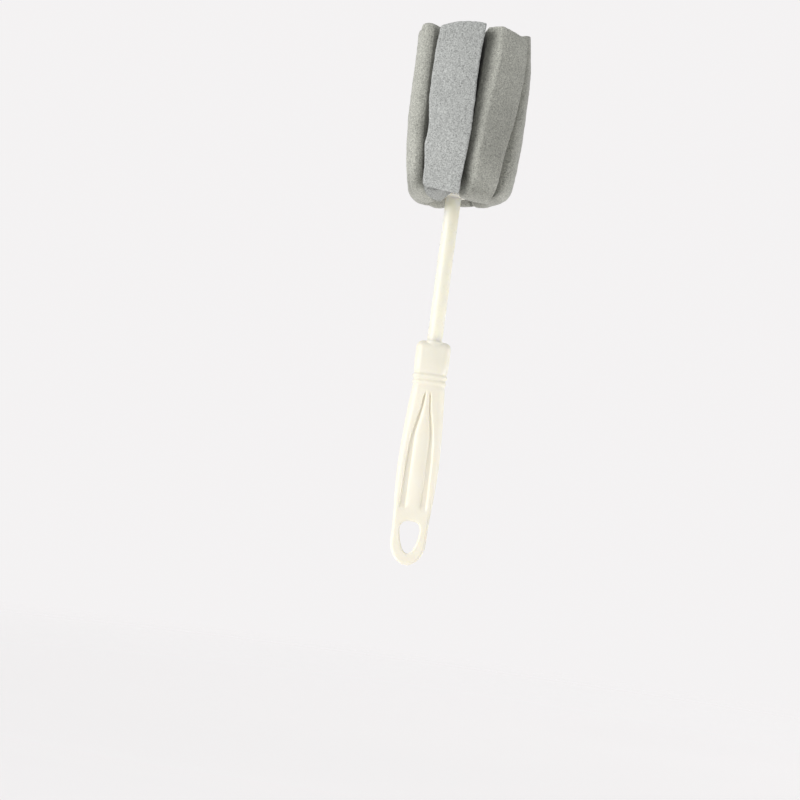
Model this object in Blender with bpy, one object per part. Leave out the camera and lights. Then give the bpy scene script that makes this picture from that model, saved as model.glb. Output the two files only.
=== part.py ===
"""Sponge cup brush: a moulded handle with a hanging eye, a round rod, and a foam head of petals.

Metres, +Z up the rod's axis, +X to the right as seen from the front, the front facing -Y.
The origin is on the rod's axis, at the very end of the hanging eye.
"""

import math

import bmesh
import bpy
from mathutils import Vector

# Clearances
SEAT_GAP = 0.0003
FOAM_GAP = 0.0004

# Hanging eye
END_LENGTH = 0.0122
END_TIP_HALF_WIDTH = 0.0019
EYE_HALF_WIDTH_OUTSIDE = 0.0089
EYE_LAND_THICKNESS = 0.0066
EYE_LAND_CORNER = 0.0016
EYE_BOTTOM_RIM = 0.0058
EYE_HOLE_WIDTH = 0.0104
EYE_HOLE_HEIGHT = 0.0160
EYE_HOLE_FLARE = 0.0009
EYE_HOLE_TAPER = 0.24
EYE_HOLE_SQUARE_TOP = 0.70
EYE_HOLE_SQUARE_FOOT = 0.96
EYE_BRIDGE = 0.0028
EYE_SIDES = 32

# Grip
GRIP_LENGTH = 0.1120
EYE_LEVEL = 0.0160
BELLY_LEVEL = 0.0470
BELLY_WIDTH = 0.0205
BELLY_THICKNESS = 0.0112
BELLY_CORNER = 0.0028
NECK_LEVEL = 0.0900
NECK_WIDTH = 0.0162
NECK_THICKNESS = 0.0120
NECK_CORNER = 0.0048
FACE_CROWN = 0.0005

# Shoulder
SHOULDER_LEVEL = 0.1030
SHOULDER_WIDTH = 0.0174
SHOULDER_TOP_THICKNESS = 0.0090
SHOULDER_ROUND = 0.0035
BOSS_WALL = 0.0009
BOSS_LENGTH = 0.0140

# Two beads round the neck
BEAD_COUNT = 2
BEAD_PITCH = 0.0030
BEAD_HEIGHT = 0.00045
BEAD_GROOVE = 0.00025
BEAD_LEVEL = 0.0926

# Inset panel with its spine, front and back
PANEL_LAND = 0.0014
PANEL_TOP_BELOW_BEADS = 0.0024
PANEL_DEPTH = 0.0012
PANEL_WALL = 0.0006
PANEL_V_LENGTH = 0.0250
PANEL_V_HALF_WIDTH = 0.0016
PANEL_RUN_OUT = 0.0036
PANEL_WIDTH_SHARE = 0.93
SPINE_WIDTH = 0.0077
SPINE_RISE = 0.0013

# Rod
ROD_DIAMETER = 0.0077
ROD_EXPOSED = 0.0732
ROD_INNER_DIAMETER = 0.0064
ROD_IN_SOCKET = 0.0240
ROD_FLATS = 0.0066
ROD_FLATS_LENGTH = 0.0200
ROD_CHAMFER = 0.0005
ROD_SIDES = 24

# Collar under the foam
COLLAR_HUB_DIAMETER = 0.0096
COLLAR_HUB_LENGTH = 0.0008
COLLAR_FLANGE_DIAMETER = 0.0138
COLLAR_FLANGE_THICKNESS = 0.0016
COLLAR_EDGE = 0.0003

# Ribbed sleeve inside the foam
SLEEVE_DIAMETER = 0.0120
SLEEVE_RIB_COUNT = 12
SLEEVE_RIB_DEPTH = 0.0006

# Button on the rod's end
BUTTON_DIAMETER = 0.0160
BUTTON_THICKNESS = 0.0022
BUTTON_CROWN = 0.0008
BUTTON_SKIRT = 0.0040
BUTTON_SUNK = 0.0020

# Foam head
HEAD_HEIGHT = 0.0866
HEAD_RADIUS = 0.0290
HEAD_SHIFT = 0.0011
HEAD_FULLEST_AT = 0.68
HEAD_TOP_DRAW_IN = 0.055
HEAD_TOP_DRAW_IN_SHIFT = 0.032
HEAD_FOOT_DRAW_IN = 0.090
HEAD_FOOT_DRAW_IN_SHIFT = -0.042
FOOT_CORNER = 0.0110
FOOT_HOLLOW = 0.0076
FOOT_LIFT_RUN = 0.0055
FOOT_FLAT_MARGIN = 0.0009
CUT_FOOT_RADIUS = 0.0240
CUT_FOOT_RAISE = 0.0036
CUT_FOOT_TILT = 0.0019
CUT_FOOT_RUN = 0.0040
TOP_HOLLOW_MARGIN = 0.0010
TOP_HOLLOW_SLOPE = 0.0050
FACE_BULGE = 0.0007
CORNER_STEPS = 5
SWAY_NODE = 0.60
TOP_SPREAD = 6

# Petals, anticlockwise from above, from the front one. Azimuth is from the front, in degrees, to the
# right. Half widths are at the fullest height and at the foot. Corners are the left and right edge's
# radius. Drift is how far the top leans round the rod and sway how far the middle bends, in degrees.
# Extra is how much taller the petal is cut. Tilt and crown shape its cut top. Left and right are each
# side's share of the half width. Lift raises the foot, whose hollow runs out to its own radius.
PETALS = (
    # name, azimuth, half width, at foot, left corner, right corner, drift, sway, extra, tilt, crown,
    # cut foot, left, right, lift, hollow
    ("petal_front", -17.2, 0.0120, 0.0115, 0.0010, 0.0010, 5.4, -1.2, 0.0008, 0.0014, 0.0016, True,
     1.0, 1.0, 0.0, 0.0160),
    ("petal_front_right", 36.0, 0.0104, 0.0090, 0.0030, 0.0014, 12.0, 2.0, 0.0024, -0.0014, 0.0016, False,
     0.78, 1.0, 0.0, 0.0205),
    ("petal_right", 84.0, 0.0102, 0.0092, 0.0030, 0.0036, 12.0, 1.0, 0.0040, 0.0005, 0.0004, False,
     0.85, 1.0, 0.0008, 0.0190),
    ("petal_back_right", 126.0, 0.0094, 0.0084, 0.0050, 0.0044, 4.0, -0.8, 0.0004, 0.0003, 0.0008, False,
     0.95, 0.72, 0.0030, 0.0180),
    ("petal_back", 165.0, 0.0104, 0.0090, 0.0022, 0.0046, 3.0, 1.2, 0.0, -0.0006, 0.0010, False,
     1.0, 0.90, 0.0036, 0.0170),
    ("petal_back_left", 209.0, 0.0098, 0.0086, 0.0052, 0.0034, -3.0, -1.0, 0.0006, 0.0006, 0.0008, False,
     0.66, 1.0, 0.0008, 0.0160),
    ("petal_left", 253.0, 0.0100, 0.0088, 0.0044, 0.0040, 1.0, 0.6, 0.0028, -0.0004, 0.0014, False,
     0.95, 0.90, 0.0, 0.0140),
    ("petal_front_left", 295.5, 0.0098, 0.0088, 0.0050, 0.0042, -1.0, -0.8, 0.0018, 0.0006, 0.0020, False,
     1.0, 0.72, 0.0, 0.0130),
)

# Levels that follow from the sizes above
ROD_RADIUS = ROD_DIAMETER / 2
ROD_INNER_RADIUS = ROD_INNER_DIAMETER / 2
EYE_HOLE_TOP = EYE_BOTTOM_RIM + EYE_HOLE_HEIGHT
LAND_TOP = EYE_HOLE_TOP + EYE_HOLE_FLARE + EYE_BRIDGE
PANEL_BOTTOM = LAND_TOP + PANEL_LAND
BEADS_TOP = BEAD_LEVEL + BEAD_COUNT * BEAD_PITCH / 2
BEADS_BOTTOM = BEAD_LEVEL - BEAD_COUNT * BEAD_PITCH / 2
PANEL_TOP = BEADS_BOTTOM - PANEL_TOP_BELOW_BEADS
COLLAR_BOTTOM = GRIP_LENGTH + ROD_EXPOSED
ROD_STEP = COLLAR_BOTTOM + COLLAR_HUB_LENGTH - SEAT_GAP
COLLAR_TOP = COLLAR_BOTTOM + COLLAR_HUB_LENGTH + COLLAR_FLANGE_THICKNESS
CORE_BOTTOM = COLLAR_TOP + SEAT_GAP
HEAD_LOWEST = CORE_BOTTOM + FOAM_GAP - FOOT_HOLLOW
HEAD_TOP = HEAD_LOWEST + HEAD_HEIGHT
BUTTON_UNDERSIDE = HEAD_TOP - BUTTON_SUNK - BUTTON_THICKNESS
BUTTON_SKIRT_BOTTOM = BUTTON_UNDERSIDE - BUTTON_SKIRT
SLEEVE_TOP = BUTTON_SKIRT_BOTTOM - SEAT_GAP
ROD_TOP = BUTTON_UNDERSIDE - SEAT_GAP
PETAL_INNER_RADIUS = SLEEVE_DIAMETER / 2 + FOAM_GAP
FOOT_FLAT_RADIUS = COLLAR_FLANGE_DIAMETER / 2 + FOOT_FLAT_MARGIN
TOP_HOLLOW_RADIUS = BUTTON_DIAMETER / 2 + TOP_HOLLOW_MARGIN


def clear_scene():
    """Remove every object that the file opened with."""
    for item in list(bpy.data.objects):
        bpy.data.objects.remove(item, do_unlink=True)


def new_material(name, colour, roughness):
    """A plain Principled surface."""
    material = bpy.data.materials.new(name)
    material.use_nodes = True
    shader = material.node_tree.nodes["Principled BSDF"]
    shader.inputs["Base Color"].default_value = (*colour, 1.0)
    shader.inputs["Roughness"].default_value = roughness
    shader.inputs["Metallic"].default_value = 0.0
    return material


def add_object(name, mesh_data, material, smooth_below=40.0):
    """Put a bmesh into the scene as a named object with outward faces."""
    bmesh.ops.recalc_face_normals(mesh_data, faces=mesh_data.faces)
    mesh = bpy.data.meshes.new(name)
    mesh_data.to_mesh(mesh)
    mesh_data.free()
    mesh.shade_smooth()
    mesh.set_sharp_from_angle(angle=math.radians(smooth_below))
    mesh.materials.append(material)
    item = bpy.data.objects.new(name, mesh)
    bpy.context.scene.collection.objects.link(item)
    return item


def add_cutter(name, mesh_data):
    """A solid that only shapes another by a Boolean."""
    item = add_object(name, mesh_data, None)
    item.hide_render = True
    item.display_type = "WIRE"
    return item


def shape_by(item, cutter, operation):
    """Join or cut item by cutter."""
    modifier = item.modifiers.new(cutter.name, "BOOLEAN")
    modifier.operation = operation
    modifier.object = cutter
    modifier.solver = "EXACT"


def mix(low, high, share):
    """The value a share of the way from low to high."""
    return low + (high - low) * share


def eased(share):
    """A share from 0 to 1 that starts and ends gently."""
    share = min(1.0, max(0.0, share))
    return share * share * (3.0 - 2.0 * share)


def loft(rings, pairs=None):
    """A closed solid through rings of equal count. The ends are flat faces, or strips between pairs."""
    mesh_data = bmesh.new()
    rows = [[mesh_data.verts.new(point) for point in ring] for ring in rings]
    count = len(rows[0])
    for lower, upper in zip(rows, rows[1:]):
        for i in range(count):
            j = (i + 1) % count
            mesh_data.faces.new((lower[i], lower[j], upper[j], upper[i]))
    for row in (rows[0], rows[-1]):
        if pairs is None:
            mesh_data.faces.new(row)
            continue
        for (a, b), (c, d) in zip(pairs, pairs[1:]):
            corners = [row[a], row[b], row[d], row[c]] if c != d else [row[a], row[b], row[c]]
            mesh_data.faces.new(corners)
    return mesh_data


def turned(profile, sides):
    """A ring-shaped solid: a closed profile of (radius, height) turned about the rod's axis."""
    mesh_data = bmesh.new()
    columns = []
    for k in range(sides):
        turn = math.tau * k / sides
        columns.append([mesh_data.verts.new((r * math.cos(turn), r * math.sin(turn), z)) for r, z in profile])
    count = len(profile)
    for k in range(sides):
        here, there = columns[k], columns[(k + 1) % sides]
        for i in range(count):
            j = (i + 1) % count
            mesh_data.faces.new((here[i], there[i], there[j], here[j]))
    return mesh_data


def round_ring(radius, z, flats=None):
    """A level ring of the rod's sides, pared to two flats if flats gives their distance."""
    ring = []
    for k in range(ROD_SIDES):
        turn = math.tau * (k + 0.5) / ROD_SIDES
        y = radius * math.sin(turn)
        if flats is not None:
            y = max(-flats / 2, min(flats / 2, y))
        ring.append(Vector((radius * math.cos(turn), y, z)))
    return ring


# Grip outline

def end_share(z):
    """How much of the width the round end has at z: 1 past the end."""
    if z >= END_LENGTH:
        return 1.0
    return math.sqrt(1.0 - (1.0 - max(0.0, z) / END_LENGTH) ** 2)


def shoulder_inset(z):
    """How far the rounded top edge of the shoulder pulls the outline in at z."""
    rise = z - (GRIP_LENGTH - SHOULDER_ROUND)
    if rise <= 0:
        return 0.0
    return SHOULDER_ROUND - math.sqrt(max(0.0, SHOULDER_ROUND**2 - rise**2))


def bead_offset(z):
    """How far the beads and their grooves stand out of the neck at z."""
    if not BEADS_BOTTOM - BEAD_PITCH / 2 <= z <= BEADS_TOP + BEAD_PITCH / 2:
        return 0.0
    edge = min(z - (BEADS_BOTTOM - BEAD_PITCH / 2), BEADS_TOP + BEAD_PITCH / 2 - z)
    wave = math.cos(math.pi * (z - BEADS_BOTTOM - BEAD_PITCH / 2) / BEAD_PITCH) ** 2
    if edge < BEAD_PITCH / 2:
        return -BEAD_GROOVE * math.sin(math.pi * edge / BEAD_PITCH)
    return mix(-BEAD_GROOVE, BEAD_HEIGHT, wave)


def grip_half_width(z):
    """Half the grip's width at z, swelling from the eye to the belly and waisted at the neck."""
    belly, neck = BELLY_WIDTH / 2, NECK_WIDTH / 2
    if z < BELLY_LEVEL:
        half = mix(EYE_HALF_WIDTH_OUTSIDE, belly, eased((z - EYE_LEVEL) / (BELLY_LEVEL - EYE_LEVEL)))
    elif z < NECK_LEVEL:
        half = neck + (belly - neck) * math.cos(math.pi / 2 * (z - BELLY_LEVEL) / (NECK_LEVEL - BELLY_LEVEL))
    else:
        half = mix(neck, SHOULDER_WIDTH / 2, eased((z - NECK_LEVEL) / (SHOULDER_LEVEL - NECK_LEVEL)))
    half = max(END_TIP_HALF_WIDTH, half * end_share(z))
    return half + bead_offset(z) - shoulder_inset(z)


def grip_half_thickness(z):
    """Half the grip's thickness at z: a flat land at the eye, fullest at the neck, a ramp at the top."""
    if z < BELLY_LEVEL:
        half = mix(EYE_LAND_THICKNESS, BELLY_THICKNESS, eased((z - LAND_TOP) / (BELLY_LEVEL - LAND_TOP))) / 2
    elif z < NECK_LEVEL:
        half = mix(BELLY_THICKNESS, NECK_THICKNESS, eased((z - BELLY_LEVEL) / (NECK_LEVEL - BELLY_LEVEL))) / 2
    else:
        ramp = eased((z - BEADS_TOP - BEAD_PITCH) / (GRIP_LENGTH - BEADS_TOP - BEAD_PITCH))
        half = mix(NECK_THICKNESS, SHOULDER_TOP_THICKNESS, ramp) / 2
    if z < EYE_LAND_CORNER:
        half -= EYE_LAND_CORNER - math.sqrt(EYE_LAND_CORNER**2 - (EYE_LAND_CORNER - z) ** 2)
    return half + bead_offset(z) - shoulder_inset(z)


def grip_corner(z):
    """Radius of the section's corners at z, kept inside the section."""
    if z < BELLY_LEVEL:
        radius = mix(EYE_LAND_CORNER, BELLY_CORNER, eased((z - LAND_TOP) / (BELLY_LEVEL - LAND_TOP)))
    else:
        radius = mix(BELLY_CORNER, NECK_CORNER, eased((z - BELLY_LEVEL) / (NECK_LEVEL - BELLY_LEVEL)))
    return min(radius, 0.5 * grip_half_width(z), 0.85 * grip_half_thickness(z))


def panel_half_width(z):
    """Half the inset panel's width at z: full below, narrowing to a V under the beads."""
    full = PANEL_WIDTH_SHARE * (grip_half_width(z) - grip_corner(z))
    share = min(1.0, max(0.0, (PANEL_TOP - z) / PANEL_V_LENGTH))
    return mix(PANEL_V_HALF_WIDTH, full, math.sin(math.pi / 2 * share))


def panel_depth(z):
    """Depth of the panel's floor at z, running out at both ends."""
    low = eased((z - PANEL_BOTTOM) / PANEL_RUN_OUT)
    high = eased((PANEL_TOP - z) / PANEL_RUN_OUT)
    return PANEL_DEPTH * min(low, high)


def face_stations(z):
    """Points across one broad face at z: (x, height above the plain face), from -x to +x."""
    flat = grip_half_width(z) - grip_corner(z)
    panel = min(panel_half_width(z), PANEL_WIDTH_SHARE * flat)
    floor = panel - min(PANEL_WALL, 0.3 * panel)
    spine = min(SPINE_WIDTH / 2, 0.8 * floor)
    depth = panel_depth(z)
    crown = FACE_CROWN * eased((z - LAND_TOP) / (BELLY_LEVEL - LAND_TOP))
    rise = SPINE_RISE * depth / PANEL_DEPTH
    half = [(flat, 0.0), (panel, 0.0), (floor, -depth), (spine, -depth), (0.55 * spine, rise * 0.72 - depth)]
    half = [(x, h + crown * (1.0 - (x / flat) ** 2)) for x, h in half]
    return [(-x, h) for x, h in half] + [(0.0, rise - depth + crown)] + half[::-1]


def grip_ring(z):
    """The section at z: two relieved faces and four rounded corners, anticlockwise from above."""
    half_width, half_thickness, corner = grip_half_width(z), grip_half_thickness(z), grip_corner(z)
    stations = face_stations(z)
    ring = [Vector((x, -half_thickness - h, z)) for x, h in stations]
    flat, side = half_width - corner, half_thickness - corner
    for centre_x, centre_y, start in ((flat, -side, -90), (flat, side, 0)):
        if start == 0:
            ring += [Vector((half_width, side, z))]
        ring += corner_points(centre_x, centre_y, corner, start, z)
        if start == -90:
            ring += [Vector((half_width, -side, z))]
    ring += [Vector((-x, half_thickness + h, z)) for x, h in stations]
    ring += corner_points(-flat, side, corner, 90, z)
    ring += [Vector((-half_width, side, z)), Vector((-half_width, -side, z))]
    ring += corner_points(-flat, -side, corner, 180, z)
    return ring


def corner_points(x, y, radius, start, z, count=3):
    """Points inside a quarter arc that begins at the angle start, in degrees."""
    points = []
    for k in range(1, count + 1):
        turn = math.radians(start + 90.0 * k / (count + 1))
        points.append(Vector((x + radius * math.cos(turn), y + radius * math.sin(turn), z)))
    return points


def grip_levels():
    """Heights of the grip's sections, closer where the form turns quickly."""
    levels = [END_LENGTH * (1.0 - math.cos(math.pi / 2 * k / 8)) for k in range(9)]
    levels += [EYE_LEVEL, EYE_HOLE_TOP - 0.25 * EYE_HOLE_HEIGHT + EYE_BRIDGE, LAND_TOP, PANEL_BOTTOM]
    levels += [PANEL_BOTTOM + PANEL_RUN_OUT * k / 3 for k in (1, 2, 3)]
    start, stop = PANEL_BOTTOM + PANEL_RUN_OUT, PANEL_TOP - PANEL_RUN_OUT
    levels += [mix(start, stop, k / 12) for k in range(1, 13)]
    levels += [PANEL_TOP - PANEL_RUN_OUT * k / 3 for k in (2, 1, 0)]
    bead_start = BEADS_BOTTOM - BEAD_PITCH / 2
    levels += [bead_start + BEAD_PITCH * k / 4 for k in range(4 * (BEAD_COUNT + 1) + 1)]
    start, stop = BEADS_TOP + BEAD_PITCH / 2, GRIP_LENGTH - SHOULDER_ROUND
    levels += [mix(start, stop, k / 4) for k in range(1, 5)]
    levels += [GRIP_LENGTH - SHOULDER_ROUND * (1.0 - math.sin(math.pi / 2 * k / 6)) for k in (1, 2, 3, 4, 5)]
    return sorted(set(round(z, 7) for z in levels))


def eye_outline(offset, y):
    """The hanging eye's egg, wide at the top, grown outward by offset, in the plane at y."""
    middle = EYE_BOTTOM_RIM + EYE_HOLE_HEIGHT / 2
    tall = EYE_HOLE_HEIGHT / 2 + offset
    ring = []
    for k in range(EYE_SIDES):
        turn = math.tau * k / EYE_SIDES
        across, up = math.sin(turn), math.cos(turn)
        square = EYE_HOLE_SQUARE_TOP if up > 0 else EYE_HOLE_SQUARE_FOOT
        up = math.copysign(abs(up) ** square, up)
        wide = EYE_HOLE_WIDTH / 2 * (1.0 + EYE_HOLE_TAPER * (up - 0.5)) + offset
        ring.append(Vector((wide * math.copysign(abs(across) ** square, across), y, middle + tall * up)))
    return ring


def make_grip(material):
    """The handle: lofted body, boss round the rod, hanging eye and the rod's keyed socket."""
    grip = add_object("grip", loft([grip_ring(z) for z in grip_levels()]), material)

    boss_radius = ROD_RADIUS + SEAT_GAP + BOSS_WALL
    boss_bottom = GRIP_LENGTH - BOSS_LENGTH
    rings = [round_ring(0.62 * boss_radius, boss_bottom)]
    rings += [round_ring(boss_radius, boss_bottom + BOSS_LENGTH / 2)]
    rings += [round_ring(boss_radius, GRIP_LENGTH - BOSS_WALL / 2)]
    rings += [round_ring(boss_radius - BOSS_WALL / 2, GRIP_LENGTH)]
    shape_by(grip, add_cutter("boss_guide", loft(rings)), "UNION")

    land = EYE_LAND_THICKNESS / 2
    steps = ((-land - 0.5 * EYE_HOLE_FLARE, 1.5), (-land + 0.25 * EYE_HOLE_FLARE, 0.5))
    steps += ((-land + EYE_HOLE_FLARE, 0.0),)
    steps += tuple((-y, grow) for y, grow in reversed(steps))
    eye = loft([eye_outline(grow * EYE_HOLE_FLARE, y) for y, grow in steps])
    shape_by(grip, add_cutter("eye_cutter", eye), "DIFFERENCE")

    socket_bottom = GRIP_LENGTH - ROD_IN_SOCKET - SEAT_GAP
    wide = ROD_RADIUS + SEAT_GAP
    flats = ROD_FLATS + 2 * SEAT_GAP
    flats_top = GRIP_LENGTH - ROD_IN_SOCKET + ROD_FLATS_LENGTH
    rings = [round_ring(wide, socket_bottom, flats), round_ring(wide, flats_top, flats)]
    rings += [round_ring(wide, flats_top + SEAT_GAP), round_ring(wide, GRIP_LENGTH + BOSS_WALL)]
    shape_by(grip, add_cutter("socket_cutter", loft(rings)), "DIFFERENCE")
    return grip


def make_rod(material):
    """The rod, keyed into the grip below, stepped where the collar sits."""
    bottom = GRIP_LENGTH - ROD_IN_SOCKET
    flats_top = bottom + ROD_FLATS_LENGTH + 2 * SEAT_GAP
    rings = [round_ring(ROD_RADIUS - ROD_CHAMFER, bottom, ROD_FLATS - ROD_CHAMFER)]
    rings += [round_ring(ROD_RADIUS, bottom + ROD_CHAMFER, ROD_FLATS)]
    rings += [round_ring(ROD_RADIUS, flats_top, ROD_FLATS), round_ring(ROD_RADIUS, flats_top + SEAT_GAP)]
    rings += [round_ring(ROD_RADIUS, ROD_STEP), round_ring(ROD_INNER_RADIUS, ROD_STEP)]
    rings += [round_ring(ROD_INNER_RADIUS, ROD_TOP - ROD_CHAMFER)]
    rings += [round_ring(ROD_INNER_RADIUS - ROD_CHAMFER, ROD_TOP)]
    return add_object("stem", loft(rings), material)


def make_collar(material):
    """The flanged collar that the petals' feet sit on, resting on the rod's step."""
    hub, flange = COLLAR_HUB_DIAMETER / 2, COLLAR_FLANGE_DIAMETER / 2
    wide_bore, bore = ROD_RADIUS + SEAT_GAP, ROD_INNER_RADIUS + SEAT_GAP
    seat = ROD_STEP + SEAT_GAP
    profile = [(wide_bore, COLLAR_BOTTOM), (hub - COLLAR_EDGE, COLLAR_BOTTOM)]
    profile += [(hub, COLLAR_BOTTOM + COLLAR_EDGE)]
    profile += [(hub, seat), (flange - COLLAR_EDGE, seat), (flange, seat + COLLAR_EDGE)]
    profile += [(flange, COLLAR_TOP - COLLAR_EDGE), (flange - COLLAR_EDGE, COLLAR_TOP), (bore, COLLAR_TOP)]
    profile += [(bore, seat), (wide_bore, seat - COLLAR_EDGE)]
    return add_object("foot_collar", turned(profile, 32), material, 30.0)


def make_sleeve(material):
    """The ribbed sleeve that the petals' inner edges are bonded to."""
    crest, root = SLEEVE_DIAMETER / 2, SLEEVE_DIAMETER / 2 - SLEEVE_RIB_DEPTH
    bore = ROD_INNER_RADIUS + SEAT_GAP
    pitch = (SLEEVE_TOP - CORE_BOTTOM) / SLEEVE_RIB_COUNT
    profile = [(bore, CORE_BOTTOM)]
    for k in range(SLEEVE_RIB_COUNT):
        foot = CORE_BOTTOM + k * pitch
        profile += [(root, foot), (crest, foot + 0.35 * pitch), (crest, foot + 0.65 * pitch)]
    profile += [(root, SLEEVE_TOP), (bore, SLEEVE_TOP)]
    return add_object("core_sleeve", turned(profile, 20), material, 30.0)


def make_button(material):
    """The domed button on the rod's end, with a skirt down to the sleeve."""
    head, skirt = BUTTON_DIAMETER / 2, SLEEVE_DIAMETER / 2
    bore = ROD_INNER_RADIUS + SEAT_GAP
    rim_top = BUTTON_UNDERSIDE + BUTTON_THICKNESS
    rings = [(bore, BUTTON_SKIRT_BOTTOM), (skirt, BUTTON_SKIRT_BOTTOM), (skirt, BUTTON_UNDERSIDE)]
    rings += [(head, BUTTON_UNDERSIDE), (head, rim_top - BUTTON_CROWN)]
    rings += [(0.9 * head, rim_top - 0.3 * BUTTON_CROWN), (0.55 * head, rim_top + 0.6 * BUTTON_CROWN)]
    mesh_data = bmesh.new()
    sides = 32
    rows = []
    for radius, z in rings:
        rows.append([mesh_data.verts.new(on_circle(radius, k / sides, z)) for k in range(sides)])
    inner_top = [mesh_data.verts.new(on_circle(bore, k / sides, BUTTON_UNDERSIDE)) for k in range(sides)]
    for lower, upper in [(inner_top, rows[0])] + list(zip(rows, rows[1:])):
        for k in range(sides):
            j = (k + 1) % sides
            mesh_data.faces.new((lower[k], lower[j], upper[j], upper[k]))
    mesh_data.faces.new(rows[-1])
    mesh_data.faces.new(inner_top)
    return add_object("end_button", mesh_data, material, 30.0)


def on_circle(radius, share, z):
    """A point on a level circle about the rod's axis."""
    return Vector((radius * math.cos(math.tau * share), radius * math.sin(math.tau * share), z))


# Foam petals

def head_share(azimuth, height):
    """The head's radius as a share of its fullest, at a share of its height."""
    side = math.sin(math.radians(azimuth))
    if height > HEAD_FULLEST_AT:
        draw_in = HEAD_TOP_DRAW_IN + HEAD_TOP_DRAW_IN_SHIFT * side
        return 1.0 - draw_in * ((height - HEAD_FULLEST_AT) / (1.0 - HEAD_FULLEST_AT)) ** 2
    draw_in = HEAD_FOOT_DRAW_IN + HEAD_FOOT_DRAW_IN_SHIFT * side
    return 1.0 - draw_in * ((HEAD_FULLEST_AT - height) / HEAD_FULLEST_AT) ** 1.6


def petal_reach(azimuth, height, cut_foot):
    """Distance from the rod's axis to a petal's outer face, at a share of the head's height."""
    full = HEAD_RADIUS + HEAD_SHIFT * math.sin(math.radians(azimuth))
    reach = full * head_share(azimuth, height)
    if cut_foot:
        return mix(reach, CUT_FOOT_RADIUS, 1.0 - eased(height / 0.5))
    rise = height * HEAD_HEIGHT
    if rise < FOOT_CORNER:
        lift = 1.0 - rise / FOOT_CORNER
        reach -= FOOT_CORNER * (1.0 - math.sqrt(1.0 - lift * lift))
    return reach


def foot_hollow(radius, outer_radius):
    """How far the underside rises toward the collar at a distance from the rod's axis."""
    share = (radius - FOOT_FLAT_RADIUS) / (outer_radius - FOOT_FLAT_RADIUS)
    return FOOT_HOLLOW * (1.0 - eased(share))


def top_hollow(radius):
    """How far the tops sink toward the button at a distance from the rod's axis."""
    floor = HEAD_TOP - (BUTTON_UNDERSIDE - SEAT_GAP)
    return floor * (1.0 - eased((radius - TOP_HOLLOW_RADIUS) / TOP_HOLLOW_SLOPE))


def cut_foot(outward, across):
    """How far the square-cut foot stands above the lowest level, blending into the hollow inside."""
    level = CUT_FOOT_RAISE - CUT_FOOT_TILT * across
    return mix(FOOT_HOLLOW, level, eased((outward - FOOT_FLAT_RADIUS) / CUT_FOOT_RUN))


def petal_heights():
    """Shares of the head's height at which a petal has a section."""
    corner = FOOT_CORNER / HEAD_HEIGHT
    low = [corner * (1.0 - math.cos(math.pi / 2 * k / 6)) for k in range(7)]
    return low + [mix(corner, 1.0, k / 10) for k in range(1, 11)]


def turned_azimuth(petal, height):
    """A petal's azimuth in degrees at a share of the head's height."""
    return petal[1] + petal[6] * (height - 0.5) + petal[7] * math.sin(math.tau * (height - SWAY_NODE))


def petal_section(index, height):
    """A petal's outline in its own directions at one height: (outward, sideways) from left inner corner."""
    petal, before, after = PETALS[index], PETALS[index - 1], PETALS[(index + 1) % len(PETALS)]
    middle = turned_azimuth(petal, height)
    left = (middle - turned_azimuth(before, height)) % 360 / 2
    right = (turned_azimuth(after, height) - middle) % 360 / 2
    reach = petal_reach(petal[1], height, petal[11])
    half = mix(petal[3], petal[2], eased(height / HEAD_FULLEST_AT))
    left_side = side_points(reach, half * petal[12], petal[4], left)
    right_side = side_points(reach, half * petal[13], petal[5], right)
    face = []
    for share in (0.25, 0.5, 0.75):
        bulge = FACE_BULGE * (1.0 - (2.0 * share - 1.0) ** 2)
        face.append((reach + bulge, mix(-left_side[-1][1], right_side[-1][1], share)))
    points = [(r, -t) for r, t in left_side] + face + [(r, t) for r, t in reversed(right_side)]
    return points, middle


def side_points(reach, half, corner, sector):
    """One flank and its rounded corner, from the inside out: (outward, sideways) with sideways positive."""
    slope = math.tan(math.radians(sector))
    clear = FOAM_GAP / 2 / math.cos(math.radians(sector))
    inner = PETAL_INNER_RADIUS

    def widest(radius):
        return radius * slope - clear

    corner = min(corner, 0.45 * (reach - inner))
    start = reach - corner
    half = min(half, widest(start), widest(reach) - 0.15 * corner)
    corner_across = min(corner, 0.7 * half)
    stations = [inner, FOOT_FLAT_RADIUS, mix(FOOT_FLAT_RADIUS, start, 0.45)]
    points = [(r, min(widest(r), half)) for r in stations]
    for k in range(CORNER_STEPS + 1):
        turn = math.pi / 2 * k / CORNER_STEPS
        points.append((start + corner * math.sin(turn), half - corner_across * (1.0 - math.cos(turn))))
    return points


def make_petal(index, material):
    """One foam petal: sections from the gathered foot to the cut top, narrow inside at the sleeve."""
    petal = PETALS[index]
    rings = []
    for height in petal_heights():
        points, middle = petal_section(index, height)
        turn = math.radians(middle)
        level = HEAD_LOWEST + height * HEAD_HEIGHT
        foot = max(0.0, 1.0 - height * HEAD_HEIGHT / FOOT_CORNER)
        top = height**TOP_SPREAD
        ring = []
        for outward, sideways in points:
            across = sideways / petal[2]
            under = cut_foot(outward, across) if petal[11] else foot_hollow(outward, petal[15])
            cut = petal[8] + petal[9] * across - petal[10] * across * across
            cut *= eased((outward - TOP_HOLLOW_RADIUS) / (HEAD_RADIUS - TOP_HOLLOW_RADIUS))
            z = level + foot * under + top * (cut - top_hollow(outward))
            lift = petal[14] * eased((outward - FOOT_FLAT_RADIUS) / FOOT_LIFT_RUN)
            z += lift * (1.0 - height) ** TOP_SPREAD
            x = outward * math.sin(turn) + sideways * math.cos(turn)
            y = -outward * math.cos(turn) + sideways * math.sin(turn)
            ring.append(Vector((x, y, z)))
        rings.append(ring)
    last = len(rings[0]) - 1
    pairs = [(k, last - k) for k in range(last // 2 + 1)]
    return add_object(petal[0], loft(rings, pairs), material, 60.0)


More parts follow.
